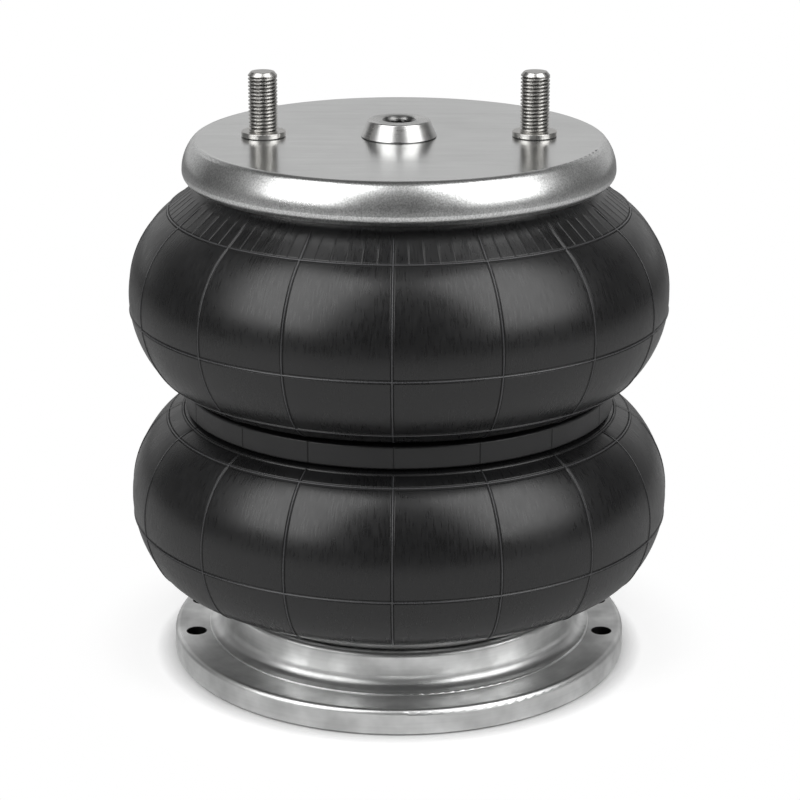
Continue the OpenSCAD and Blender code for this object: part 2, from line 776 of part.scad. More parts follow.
pedestal();
pedestal_screws();
pedestal_washers();
lower_bead_plate();
lower_plate_nuts();
lower_bead();
lower_bead_wire();
bump_nut();
bump_plate();
bump_stop();
bump_washer();
bump_screw();
lower_cover();
lower_outer_ply();
lower_inner_ply();
lower_liner();
girdle_hoop();
girdle_band();
upper_cover();
upper_outer_ply();
upper_inner_ply();
upper_liner();
upper_bead();
upper_bead_wire();
upper_bead_plate();
inlet_boss();
mounting_studs();
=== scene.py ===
import math

import bmesh
import bpy
import numpy as np
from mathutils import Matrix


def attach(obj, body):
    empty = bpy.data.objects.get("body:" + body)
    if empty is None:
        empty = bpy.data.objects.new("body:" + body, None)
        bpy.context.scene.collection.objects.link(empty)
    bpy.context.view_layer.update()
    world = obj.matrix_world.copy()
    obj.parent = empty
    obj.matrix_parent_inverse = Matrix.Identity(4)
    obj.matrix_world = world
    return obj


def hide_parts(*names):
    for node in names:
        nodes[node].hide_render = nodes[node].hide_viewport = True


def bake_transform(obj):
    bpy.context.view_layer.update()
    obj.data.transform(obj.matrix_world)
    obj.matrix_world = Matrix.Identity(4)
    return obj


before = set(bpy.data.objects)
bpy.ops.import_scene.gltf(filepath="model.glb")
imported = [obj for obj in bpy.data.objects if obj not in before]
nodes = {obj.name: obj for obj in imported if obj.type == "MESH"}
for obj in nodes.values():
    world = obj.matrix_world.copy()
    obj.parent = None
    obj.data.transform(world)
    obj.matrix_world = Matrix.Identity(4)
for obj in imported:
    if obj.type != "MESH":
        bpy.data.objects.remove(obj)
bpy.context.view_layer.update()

MM = 0.001


# ---- Camera ----
# Where the photograph was taken from: a long lens a metre away, straight in
# front of the two studs and a little above the upper plate.
CAMERA_DISTANCE = 1040.6 * MM
CAMERA_RISE = math.radians(18.13)
CAMERA_AIM_Z = 110.65 * MM
CAMERA_LENS = 109.37
CAMERA_SENSOR = 36.0
CAMERA_SHIFT = 1 / 800

camera_data = bpy.data.cameras.new("front_camera")
camera_data.lens = CAMERA_LENS
camera_data.sensor_width = CAMERA_SENSOR
camera_data.shift_x = CAMERA_SHIFT
camera_data.clip_end = 50
camera = bpy.data.objects.new("front_camera", camera_data)
camera.location = (
    0,
    -CAMERA_DISTANCE * math.cos(CAMERA_RISE),
    CAMERA_AIM_Z + CAMERA_DISTANCE * math.sin(CAMERA_RISE),
)
camera.rotation_euler = (math.pi / 2 - CAMERA_RISE, 0, 0)
bpy.context.scene.collection.objects.link(camera)
bpy.context.scene.camera = camera
bpy.context.scene.view_settings.view_transform = "Standard"


# ---- Studio table ----
# A pale table that keeps the soft shadow under the pedestal and runs out to
# plain white away from it. It isn't part of the object.
TABLE_HALF = 3.0
TABLE_DROP = 0.2 * MM
TABLE_COLOR = (0.7, 0.7, 0.7, 1)
WHITE = (1, 1, 1, 1)
# The camera sees the paper lifted from LIFT_INNER off the axis on, and plain white
# from SHADOW_OUTER on. Nearer the foot the lift fades out, so the paper is greyer in a
# narrow ring round the pedestal: painted shadow on top of the real one
TABLE_LIFT = 0.57
LIFT_INNER = 0.097
LIFT_OUTER = 0.107
SHADOW_INNER = 0.1
SHADOW_OUTER = 0.145


def add_node(tree, kind, inputs=None, **settings):
    """A shader node with its settings; each input is a value or the output that feeds it."""
    node = tree.nodes.new(kind)
    for name, value in settings.items():
        setattr(node, name, value)
    for name, value in (inputs or {}).items():
        if isinstance(value, bpy.types.NodeSocket):
            tree.links.new(value, node.inputs[name])
        else:
            node.inputs[name].default_value = value
    return node


def math_node(tree, operation, first, second):
    """The output of one Math node."""
    return add_node(tree, "ShaderNodeMath", {0: first, 1: second}, operation=operation).outputs[0]


def vector_node(tree, operation, first, second=(0, 0, 0)):
    """The output of one Vector Math node, which is a value where it measures a length."""
    node = add_node(tree, "ShaderNodeVectorMath", {0: first, 1: second}, operation=operation)
    return node.outputs["Value" if operation == "LENGTH" else "Vector"]


def spread(tree, value, low, high, at_low, at_high, smooth=False):
    """Value carried from the range low..high to at_low..at_high, held at both ends."""
    node = add_node(
        tree,
        "ShaderNodeMapRange",
        {0: value, 1: low, 2: high, 3: at_low, 4: at_high},
        interpolation_type="SMOOTHSTEP" if smooth else "LINEAR",
    )
    return node.outputs[0]


table_material = bpy.data.materials.new("studio_table")
table_material.use_nodes = True
tree = table_material.node_tree
tree.nodes.clear()
place = add_node(tree, "ShaderNodeTexCoord").outputs["Object"]
reach = vector_node(tree, "LENGTH", place)
away = spread(tree, reach, SHADOW_INNER, SHADOW_OUTER, 0.0, 1.0, smooth=True)
seen = add_node(tree, "ShaderNodeLightPath").outputs["Is Camera Ray"]
paper = add_node(tree, "ShaderNodeBsdfDiffuse", {"Color": TABLE_COLOR}).outputs[0]
# The lift fades out towards the foot: a painted shadow ring round the pedestal
lift = math_node(
    tree, "MULTIPLY", seen, spread(tree, reach, LIFT_INNER, LIFT_OUTER, 0.0, TABLE_LIFT)
)
lifted = add_node(tree, "ShaderNodeEmission", {"Color": WHITE, "Strength": lift}).outputs[0]
near_paper = add_node(tree, "ShaderNodeAddShader", {0: paper, 1: lifted}).outputs[0]
white = add_node(tree, "ShaderNodeEmission", {"Color": WHITE, "Strength": 1.0}).outputs[0]
far_share = math_node(tree, "MULTIPLY", away, seen)
mixed = add_node(tree, "ShaderNodeMixShader", {0: far_share, 1: near_paper, 2: white}).outputs[0]
add_node(tree, "ShaderNodeOutputMaterial", {"Surface": mixed})

table_corners = ((-1, -1), (1, -1), (1, 1), (-1, 1))
table_mesh = bpy.data.meshes.new("studio_table")
table_mesh.from_pydata(
    [(x * TABLE_HALF, y * TABLE_HALF, -TABLE_DROP) for x, y in table_corners], [], [(0, 1, 2, 3)]
)
table_mesh.materials.append(table_material)
table = bpy.data.objects.new("studio_table", table_mesh)
bpy.context.scene.collection.objects.link(table)


# ---- Studio light ----
# Two tall soft boxes stand left and right of the camera. The room is dim but for a pale
# wall low behind the object, which the plates' flats mirror.
ROOM_COLOR = (0.8, 0.8, 0.8, 1)
ROOM_LIGHT = 0.12
WALL_LIGHT = 0.95
WALL_FOOT_LIGHT = 0.68
# Heights in the room as sines: where the wall's foot turns bright, and where the wall ends
WALL_FOOT = math.sin(math.radians(16))
WALL_BRIGHT = math.sin(math.radians(20))
WALL_END_LOW = math.sin(math.radians(21))
WALL_END_HIGH = math.sin(math.radians(36))
# How far a direction points backwards at the wall's sides and where it is whole
WALL_SIDE = 0.5
WALL_MIDDLE = 0.85
BOX_DISTANCE = 1.15
BOX_AIM_Z = 0.11
BOX_WIDTH = 0.85
BOX_HEIGHT = 1.25
BOX_RADIANCE = 2.7
BOX_RISE = math.radians(42)
BOX_TURNS = {"left_soft_box": math.radians(-52), "right_soft_box": math.radians(57)}

world = bpy.data.worlds.new("studio_room")
world.use_nodes = True
bpy.context.scene.world = world
tree = world.node_tree
tree.nodes.clear()
outward = add_node(tree, "ShaderNodeTexCoord").outputs["Generated"]
toward = add_node(tree, "ShaderNodeSeparateXYZ", {0: outward}).outputs
low_down = spread(tree, toward["Z"], WALL_END_LOW, WALL_END_HIGH, 1.0, 0.0, smooth=True)
behind = spread(tree, toward["Y"], WALL_SIDE, WALL_MIDDLE, 0.0, 1.0, smooth=True)
on_wall = math_node(tree, "MULTIPLY", low_down, behind)
wall_light = spread(tree, toward["Z"], WALL_FOOT, WALL_BRIGHT, WALL_FOOT_LIGHT, WALL_LIGHT)
room_light = spread(tree, on_wall, 0.0, 1.0, ROOM_LIGHT, wall_light)
room = add_node(
    tree, "ShaderNodeBackground", {"Color": ROOM_COLOR, "Strength": room_light}
).outputs[0]
backdrop = add_node(tree, "ShaderNodeBackground", {"Color": WHITE, "Strength": 1.0}).outputs[0]
camera_ray = add_node(tree, "ShaderNodeLightPath").outputs["Is Camera Ray"]
sky = add_node(tree, "ShaderNodeMixShader", {0: camera_ray, 1: room, 2: backdrop}).outputs[0]
add_node(tree, "ShaderNodeOutputWorld", {"Surface": sky})

for name, turn in BOX_TURNS.items():
    lamp = bpy.data.lights.new(name, "AREA")
    lamp.shape = "RECTANGLE"
    lamp.size, lamp.size_y = BOX_WIDTH, BOX_HEIGHT
    lamp.energy = BOX_RADIANCE * math.pi * BOX_WIDTH * BOX_HEIGHT
    box = bpy.data.objects.new(name, lamp)
    box.location = (
        BOX_DISTANCE * math.cos(BOX_RISE) * math.sin(turn),
        -BOX_DISTANCE * math.cos(BOX_RISE) * math.cos(turn),
        BOX_AIM_Z + BOX_DISTANCE * math.sin(BOX_RISE),
    )
    box.rotation_euler = (math.pi / 2 - BOX_RISE, 0, turn)
    box.visible_camera = False
    bpy.context.scene.collection.objects.link(box)


# ---- Pedestal ----
# Cast aluminium foot, turned on a lathe: a flange with four bolt holes, a raised
# ring, a cove, and a plain neck whose rounded deck carries the lower bead plate.
CAST_COLOR = (0.86, 0.865, 0.86)
CAST_ROUGHNESS = 0.36
# Painted shade inside the four flange holes: their middles, radius, soft edge and darkness
FLANGE_HOLE = (87.8 * MM, 17.1 * MM, 0)
FLANGE_HOLE_R = 4.3 * MM
HOLE_EDGE = 0.3 * MM
HOLE_SHADE = 0.12

# Between these values a noise nearly always stays
NOISE_LOW, NOISE_HIGH = 0.3, 0.7
# Metal: its grain and clouds per metre, and how clouds, tool lines and a thread's root
# shade it and change its roughness; the root's darkening is painted shade
GRAIN_SCALE = 1500.0
CLOUD_SCALE = 45.0
CLOUD_LOW, CLOUD_HIGH = 0.35, 0.65
CLOUD_SHADE = (0.76, 1.12)
CLOUD_MATT, CLOUD_GLOSSY = 0.09, 0.06
TOOL_LINE_SHADE = (0.96, 1.03)
TOOL_LINE_MATT = 0.03
ROOT_SHADE = 0.1


def new_group(name, inputs, outputs):
    """An empty shader node group with its sockets, and its input and output nodes."""
    group = bpy.data.node_groups.new(name, "ShaderNodeTree")
    for label, kind, value in inputs:
        socket = group.interface.new_socket(label, in_out="INPUT", socket_type=kind)
        if value is not None:
            socket.default_value = value
    for label, kind in outputs:
        group.interface.new_socket(label, in_out="OUTPUT", socket_type=kind)
    return group, group.nodes.new("NodeGroupInput"), group.nodes.new("NodeGroupOutput")


def place_group(tree, group, inputs):
    """The outputs of a node group set into a material."""
    return add_node(tree, "ShaderNodeGroup", inputs, node_tree=group).outputs


def noise(tree, vector, scale, detail=2.0, roughness=0.5):
    """Values of a noise texture, from 0 to 1."""
    return add_node(
        tree,
        "ShaderNodeTexNoise",
        {"Vector": vector, "Scale": scale, "Detail": detail, "Roughness": roughness},
    ).outputs[0]


def patches(tree, value, at_low, at_high):
    """A noise's value carried to at_low in its lows and to at_high in its highs."""
    return spread(tree, value, NOISE_LOW, NOISE_HIGH, at_low, at_high)


def off_axis(tree, vector):
    """The part of a vector that lies across the axis."""
    return vector_node(tree, "MULTIPLY", vector, (1, 1, 0))


# Fine crystals of plated or blasted metal over slow cloudy patches.
metal_grain, into, out = new_group(
    "metal_grain",
    [
        ("Vector", "NodeSocketVector", None),
        ("Grain Scale", "NodeSocketFloat", 1400.0),
        ("Cloud Scale", "NodeSocketFloat", 60.0),
    ],
    [("Grain", "NodeSocketFloat"), ("Cloud", "NodeSocketFloat")],
)
fine = noise(metal_grain, into.outputs["Vector"], into.outputs["Grain Scale"], 2.0, 0.6)
slow = noise(metal_grain, into.outputs["Vector"], into.outputs["Cloud Scale"], 3.0, 0.55)
metal_grain.links.new(fine, out.inputs["Grain"])
metal_grain.links.new(slow, out.inputs["Cloud"])

# Fine lines that a turning tool leaves round the axis: noise over the radius
# and the height, which changes slowly on the way round.
turned_lines, into, out = new_group(
    "turned_lines",
    [("Vector", "NodeSocketVector", None), ("Line Scale", "NodeSocketFloat", 700.0)],
    [("Line", "NodeSocketFloat")],
)
across = off_axis(turned_lines, into.outputs["Vector"])
radius = vector_node(turned_lines, "LENGTH", across)
around = vector_node(turned_lines, "NORMALIZE", across)
axial = add_node(turned_lines, "ShaderNodeSeparateXYZ", {0: into.outputs["Vector"]}).outputs["Z"]
lines_at = add_node(
    turned_lines,
    "ShaderNodeCombineXYZ",
    {
        0: math_node(turned_lines, "MULTIPLY", radius, into.outputs["Line Scale"]),
        1: math_node(turned_lines, "MULTIPLY", axial, into.outputs["Line Scale"]),
    },
).outputs[0]
slow_turn = vector_node(turned_lines, "MULTIPLY", around, (1.5, 1.5, 1.5))
line_place = vector_node(turned_lines, "ADD", lines_at, slow_turn)
turned_lines.links.new(noise(turned_lines, line_place, 1.0, 3.0, 0.6), out.inputs["Line"])


def new_material(name, metallic=0.0):
    """A material with one Principled BSDF; gives its tree, its shader and the object's own
    coordinates."""
    material = bpy.data.materials.new(name)
    material.use_nodes = True
    tree = material.node_tree
    tree.nodes.clear()
    shader = add_node(tree, "ShaderNodeBsdfPrincipled", {"Metallic": metallic})
    add_node(tree, "ShaderNodeOutputMaterial", {"Surface": shader.outputs[0]})
    place = add_node(tree, "ShaderNodeTexCoord").outputs["Object"]
    return material, tree, shader, place


def shaded(tree, color, shade):
    """A colour made darker or lighter by the shade, which is 1 where it stays."""
    return add_node(
        tree, "ShaderNodeVectorMath", {0: color, "Scale": shade}, operation="SCALE"
    ).outputs[0]


def bumped(tree, shader, height):
    """Feeds the shader's normal from a height map in metres."""
    bump = add_node(tree, "ShaderNodeBump", {"Height": height, "Distance": 1.0, "Strength": 1.0})
    tree.links.new(bump.outputs[0], shader.inputs["Normal"])


def finish_nodes(material, *names):
    """Gives every material slot of these CAD nodes the same finish."""
    for name in names:
        for slot in nodes[name].material_slots:
            slot.material = material


def turned_metal(name, color, roughness, line_scale, line_depth, grain_depth, own_relief=None):
    """Metal turned on a lathe and plated or blasted: tool lines round the axis, grain and clouds.
    own_relief is the attribute that falls to -1 in a thread's root: painted shade darkens it."""
    material, tree, shader, place = new_material(name, metallic=1.0)
    grain = place_group(
        tree, metal_grain, {"Vector": place, "Grain Scale": GRAIN_SCALE, "Cloud Scale": CLOUD_SCALE}
    )
    line = place_group(tree, turned_lines, {"Vector": place, "Line Scale": line_scale})["Line"]
    shade = math_node(
        tree,
        "MULTIPLY",
        spread(tree, grain["Cloud"], CLOUD_LOW, CLOUD_HIGH, *CLOUD_SHADE),
        patches(tree, line, *TOOL_LINE_SHADE),
    )
    if own_relief:
        relief = add_node(tree, "ShaderNodeAttribute", attribute_name=own_relief).outputs["Fac"]
        root_painted_shade = spread(tree, relief, -0.9, -0.1, ROOT_SHADE, 1.0)
        shade = math_node(tree, "MULTIPLY", shade, root_painted_shade)
    tree.links.new(shaded(tree, color, shade), shader.inputs["Base Color"])
    gloss = math_node(
        tree,
        "ADD",
        patches(tree, grain["Cloud"], roughness + CLOUD_MATT, roughness - CLOUD_GLOSSY),
        patches(tree, line, -TOOL_LINE_MATT, TOOL_LINE_MATT),
    )
    tree.links.new(gloss, shader.inputs["Roughness"])
    height = math_node(
        tree,
        "ADD",
        math_node(tree, "MULTIPLY", grain["Grain"], grain_depth),
        math_node(tree, "MULTIPLY", line, line_depth),
    )
    bumped(tree, shader, height)
    return material


cast_aluminium = turned_metal(
    "cast_aluminium",
    CAST_COLOR,
    CAST_ROUGHNESS,
    line_scale=900.0,
    line_depth=0.003 * MM,
    grain_depth=0.004 * MM,
)
# The flange holes are darkened inside: painted shade in the recess. The four lie alike
# about both axes.
tree = cast_aluminium.node_tree
shader = tree.nodes["Principled BSDF"]
place = add_node(tree, "ShaderNodeTexCoord").outputs["Object"]
from_hole = vector_node(tree, "SUBTRACT", vector_node(tree, "ABSOLUTE", place), FLANGE_HOLE)
hole_reach = vector_node(tree, "LENGTH", off_axis(tree, from_hole))
painted_hole_shade = spread(tree, hole_reach, FLANGE_HOLE_R, FLANGE_HOLE_R + HOLE_EDGE, HOLE_SHADE, 1.0)
plain = shader.inputs["Base Color"].links[0].from_socket
tree.links.new(shaded(tree, plain, painted_hole_shade), shader.inputs["Base Color"])
finish_nodes(cast_aluminium, "pedestal")


# ---- Pedestal screws, washers and nuts ----
# Zinc-plated steel fasteners from under the pedestal's deck into closed nuts
# welded inside the lower bead plate.
FASTENER_COLOR = (0.66, 0.66, 0.65)
FASTENER_ROUGHNESS = 0.28

fastener_zinc = turned_metal(
    "fastener_zinc",
    FASTENER_COLOR,
    FASTENER_ROUGHNESS,
    line_scale=1500.0,
    line_depth=0.004 * MM,
    grain_depth=0.006 * MM,
)
finish_nodes(
    fastener_zinc,
    "pedestal_screws",
    "pedestal_washers",
    "lower_plate_nuts",
    "bump_nut",
    "bump_washer",
    "bump_screw",
)


# ---- Lower bead plate ----
# Sheet steel, pressed to a dish and rolled in over the lower bead, then dipped in
# zinc, which is dull; its colour is darker than the other zinc as painted shade under the
# rubber. It stands flat on the pedestal's deck.
DULL_ZINC_SHADED_COLOR = (0.5, 0.5, 0.5)
DULL_ZINC_ROUGHNESS = 0.42

dull_zinc_painted_shade = turned_metal(
    "dull_zinc_painted_shade",
    DULL_ZINC_SHADED_COLOR,
    DULL_ZINC_ROUGHNESS,
    line_scale=900.0,
    line_depth=0.002 * MM,
    grain_depth=0.002 * MM,
)
finish_nodes(dull_zinc_painted_shade, "lower_bead_plate")


# ---- Beads and wires ----
# Each rubber bead is moulded round a bundle of brass-coated wire, and a plate's
# rolled rim grips it. The girdle's hoop is wound from the same wire.
RUBBER_COLOR = (0.007, 0.007, 0.0074)
RUBBER_SHEEN = 0.62
BEAD_ROUGHNESS = 0.5
WIRE_COLOR = (0.55, 0.47, 0.34)
WIRE_ROUGHNESS = 0.35
# How clouds and grain shade rubber and change its roughness, how dark the painted shade in a
# groove is, and how light the painted highlight on a raised line's crest
RUBBER_CLOUD_SHADE = (0.85, 1.18)
RUBBER_GRAIN_SHADE = (0.86, 1.16)
RUBBER_CLOUD_MATT = 0.05
RUBBER_GRAIN_MATT = 0.07
GROOVE_PAINTED_SHADE = 0.2
GROOVE_MATT = 0.3
CREST_PAINTED_HIGHLIGHT = 9.0
SPECK_SHARE = 0.35
RUBBER_CLOUD_SCALE = 38.0
SPECK_SCALE = 2600.0

# Moulded rubber: a fine grain along the wall and slow matt clouds.
rubber_skin, into, out = new_group(
    "rubber_skin",
    [
        ("Vector", "NodeSocketVector", None),
        ("Grain Scale", "NodeSocketFloat", 1300.0),
        ("Stretch", "NodeSocketFloat", 0.12),
    ],
    [("Grain", "NodeSocketFloat"), ("Cloud", "NodeSocketFloat"), ("Speck", "NodeSocketFloat")],
)
axes = add_node(rubber_skin, "ShaderNodeSeparateXYZ", {0: into.outputs["Vector"]}).outputs
drawn_y = math_node(rubber_skin, "MULTIPLY", axes["Y"], into.outputs["Stretch"])
drawn_out = add_node(
    rubber_skin, "ShaderNodeCombineXYZ", {0: axes["X"], 1: drawn_y, 2: axes["Z"]}
).outputs[0]
fine = noise(rubber_skin, drawn_out, into.outputs["Grain Scale"], 3.0, 0.6)
slow = noise(rubber_skin, into.outputs["Vector"], RUBBER_CLOUD_SCALE, 4.0, 0.6)
speck = noise(rubber_skin, into.outputs["Vector"], SPECK_SCALE, 1.0, 0.5)
rubber_skin.links.new(fine, out.inputs["Grain"])
rubber_skin.links.new(slow, out.inputs["Cloud"])
rubber_skin.links.new(speck, out.inputs["Speck"])


def moulded_rubber(
    name, color, roughness, own_map=None, stretch=1.0, grain_depth=0.02 * MM, own_relief=None
):
    """Black rubber as it leaves the mould. own_map is the UV map that the grain follows, and
    own_relief the attribute that is 1 on a raised line's crest and -1 in the groove at its foot."""
    material, tree, shader, place = new_material(name)
    shader.inputs["Specular IOR Level"].default_value = RUBBER_SHEEN
    if own_map:
        place = add_node(tree, "ShaderNodeUVMap", uv_map=own_map).outputs[0]
    skin = place_group(tree, rubber_skin, {"Vector": place, "Stretch": stretch})
    shade = math_node(
        tree,
        "MULTIPLY",
        patches(tree, skin["Cloud"], *RUBBER_CLOUD_SHADE),
        patches(tree, skin["Grain"], *RUBBER_GRAIN_SHADE),
    )
    gloss = math_node(
        tree,
        "ADD",
        patches(tree, skin["Cloud"], roughness - RUBBER_CLOUD_MATT, roughness + RUBBER_CLOUD_MATT),
        patches(tree, skin["Grain"], -RUBBER_GRAIN_MATT, RUBBER_GRAIN_MATT),
    )
    if own_relief:
        # Painted shade in the groove at a raised line's foot, and a painted highlight on its crest
        relief = add_node(tree, "ShaderNodeAttribute", attribute_name=own_relief).outputs["Fac"]
        groove_painted_shade = spread(tree, relief, -0.8, -0.1, GROOVE_PAINTED_SHADE, 1.0)
        crest_painted_highlight = spread(tree, relief, 0.5, 0.95, 1.0, CREST_PAINTED_HIGHLIGHT)
        painted_relief_light = math_node(tree, "MULTIPLY", groove_painted_shade, crest_painted_highlight)
        shade = math_node(tree, "MULTIPLY", shade, painted_relief_light)
        gloss = math_node(tree, "ADD", gloss, spread(tree, relief, -0.8, -0.1, GROOVE_MATT, 0.0))
    tree.links.new(shaded(tree, color, shade), shader.inputs["Base Color"])
    tree.links.new(gloss, shader.inputs["Roughness"])
    height = math_node(
        tree,
        "ADD",
        math_node(tree, "MULTIPLY", skin["Grain"], grain_depth),
        math_node(tree, "MULTIPLY", skin["Speck"], grain_depth * SPECK_SHARE),
    )
    bumped(tree, shader, height)
    return material


bead_rubber = moulded_rubber("bead_rubber", RUBBER_COLOR, BEAD_ROUGHNESS)
bead_wire = turned_metal(
    "bead_wire",
    WIRE_COLOR,
    WIRE_ROUGHNESS,
    line_scale=2200.0,
    line_depth=0.03 * MM,
    grain_depth=0.005 * MM,
)
finish_nodes(bead_rubber, "lower_bead", "upper_bead")
finish_nodes(bead_wire, "lower_bead_wire", "upper_bead_wire", "girdle_hoop")


# ---- Bump stop ----
# Solid rubber buffer with rounded grooves, moulded on a steel plate that one
# screw holds down. The upper plate lands on it at full bump.
BUMP_COLOR = (0.022, 0.022, 0.022)
BUMP_ROUGHNESS = 0.55

finish_nodes(moulded_rubber("bump_rubber", BUMP_COLOR, BUMP_ROUGHNESS), "bump_stop")


# ---- Lower convolution ----
# Four layers cured together: a black cover with the mould's rings and lines
# on it, two rubberised cord plies, and an inner liner that holds the air.
GIRDLE_Z = 116.3 * MM
CROWN_RISE = 44.1 * MM
LOWER_CROWN_R = 114.6 * MM
CROWN_ARC_R = 46.2 * MM
CROWN_HALF = 37.5
THROAT_R = 79 * MM
THROAT_ROUND = 2.1 * MM
THROAT_HALF_H = 5.1 * MM
FOOT_START = 33
FOOT_ARC_R = 18.3 * MM
NECK_INSET = 23.3 * MM
FOOT_ROUND = 3.5 * MM
FOOT_ROUND_RISE = 10.2 * MM
DECK_Z = 27 * MM
LOWER_WALL_FOOT_Z = 36.15 * MM
HALF_BOND = 0.025 * MM
# Each layer as its depth under the wall's outside, and its thickness
COVER = (0.0, 1.5 * MM)
PLIES = {
    "outer_ply": (1.55 * MM, 0.9 * MM),
    "inner_ply": (2.5 * MM, 0.9 * MM),
    "liner": (3.45 * MM, 1.5 * MM),
}
# Degrees between the rows of an arc, and of a small rounding, and the wall's row spacing
ARC_STEP = 0.25
ROUND_STEP = 10
ROW_STEP = 2.0 * MM

# Mould lines: the seven that the photo shows, in degrees from the front, the number behind
# them, their half width, height, and the groove beside them
FRONT_LINES = (-67.2, -43.75, -23.35, -1.35, 20.6, 42.4, 65.2)
REAR_LINE_COUNT = 9
LINE_HALF_W = 0.38 * MM
LINE_H = 0.34 * MM
GROOVE_D = 0.2 * MM
LINE_FADE = 4.0 * MM
# The groove's middle and its half width, as shares of the ridge's half width, and the share
# of a line's height that fills it up
GROOVE_OFF = 1.45
GROOVE_HALF = 0.42
GROOVE_FILLED = 0.2
# Columns across one mould line, in degrees from its middle, and steps between two lines
LINE_COLUMNS = (0.07, 0.13, 0.175, 0.21, 0.25, 0.29, 0.34, 0.41, 0.5, 0.6)
LINE_STEPS = 10
# Rows across one mould ring, from its middle
RING_ROWS = np.array([0, 0.13, 0.26, 0.36, 0.42, 0.5, 0.6, 0.7, 0.8, 0.95, 1.2]) * MM
# Half width and height of a mould ring, and of the finer ring beside the girdle
RING_H = 0.4 * MM
MOULD_RING = (0.42 * MM, RING_H)
GIRDLE_RING = (0.4 * MM, 0.25 * MM)
LOWER_RING_ANGLES = (55.8, -9.3)
GIRDLE_RING_ANGLE = 71
LINES_END_ANGLE = 76
# Ticks between two lines, on the upper shoulder: columns across one in degrees, steps
# between two, and the dashes above them with the gap that each tick leaves
TICKS_BETWEEN = 5
TICK_COLUMNS = np.array([-0.27, -0.17, -0.1, 0, 0.1, 0.17, 0.27])
TICK_STEPS = 3
TICK_HALF_W = 0.28 * MM
TICK_H = 0.12 * MM
TICK_FADE = 1.0 * MM
DASH_UP = 1.5 * MM
DASH_GAP = 0.5 * MM


def on_arc(centre, radius, angle):
    """The point of an arc at an angle: its centre plus the radius along the angle."""
    return (
        centre[0] + radius * math.cos(math.radians(angle)),
        centre[1] + radius * math.sin(math.radians(angle)),
    )


def arc(centre, radius, start, end, side=1, step=ARC_STEP):
    """Rows of radius, height and outward normal along an arc of the section.
    side is 1 where the wall bulges, and -1 in a fillet, whose normals point at its centre."""
    angles = np.linspace(start, end, max(3, int(abs(end - start) / step) + 1))
    along = np.column_stack([np.cos(np.radians(angles)), np.sin(np.radians(angles))])
    return np.hstack([np.array(centre) + radius * along, side * along])


def distances(outline):
    """How far along the outline each of its rows is."""
    steps = np.hypot(*np.diff(outline[:, :2], axis=0).T)
    return np.concatenate([[0], np.cumsum(steps)])


def distance_at(outline, point):
    """How far along the outline the row nearest to a point is."""
    off = np.hypot(outline[:, 0] - point[0], outline[:, 1] - point[1])
    return distances(outline)[off.argmin()]


def rows_at(outline, at):
    """The outline's rows at given distances along it, each between its two neighbours."""
    rows = np.column_stack([np.interp(at, distances(outline), column) for column in outline.T])
    rows[:, 2:] /= np.linalg.norm(rows[:, 2:], axis=1, keepdims=True)
    return rows


def ridge(off, half_width, height):
    """Height of a rounded ridge at a distance off its middle: a parabola between its two feet."""
    return height * np.clip(1 - (off / half_width) ** 2, 0, None)


def groove(off, half_width):
    """Depth of the shallow groove along both feet of a ridge: a bell curve on each side."""
    off_middle = np.abs(off) - GROOVE_OFF * half_width
    return GROOVE_D * np.exp(-((off_middle / (GROOVE_HALF * half_width)) ** 2))


def line_angles(ticks=0):
    """Angles of the mould lines round the wall, in degrees from +X: the front ones as they are,
    the rear ones evenly spaced over the rest, and the ticks evenly spaced between two lines."""
    rear = np.linspace(FRONT_LINES[-1], FRONT_LINES[0] + 360, REAR_LINE_COUNT + 2)[1:]
    lines = np.concatenate([FRONT_LINES, rear]) - 90
    return (lines[:-1, None] + np.diff(lines)[:, None] * np.arange(ticks + 1) / (ticks + 1)).ravel()


def nearest_line(angles, lines):
    """How far each angle is from its nearest line, in degrees, with its sign."""
    off = (angles[:, None] - lines + 180) % 360 - 180
    return np.take_along_axis(off, np.abs(off).argmin(axis=1)[:, None], axis=1)[:, 0]


def wall_columns(ticks=0):
    """Angles of the wall's columns: close together across each mould line, and across
    each of the fine ticks between two lines, and wide apart elsewhere."""
    across = np.concatenate([-np.array(LINE_COLUMNS)[::-1], [0], LINE_COLUMNS])
    middles = line_angles(ticks)
    marks = [
        middle + (TICK_COLUMNS if index % (ticks + 1) else across)
        for index, middle in enumerate(middles)
    ]
    marks.append(middles[0] + 360 + across[:1])
    steps = TICK_STEPS if ticks else LINE_STEPS
    gaps = [
        np.linspace(low[-1], high[0], steps + 1)[1:-1] for low, high in zip(marks[:-1], marks[1:])
    ]
    return np.concatenate([part for pair in zip(marks[:-1], gaps) for part in pair])


def faded(at, low, high, run):
    """1 between two distances along the wall, down to 0 at both ends over a short run."""
    return np.clip((at - low) / run, 0, 1) * np.clip((high - at) / run, 0, 1)


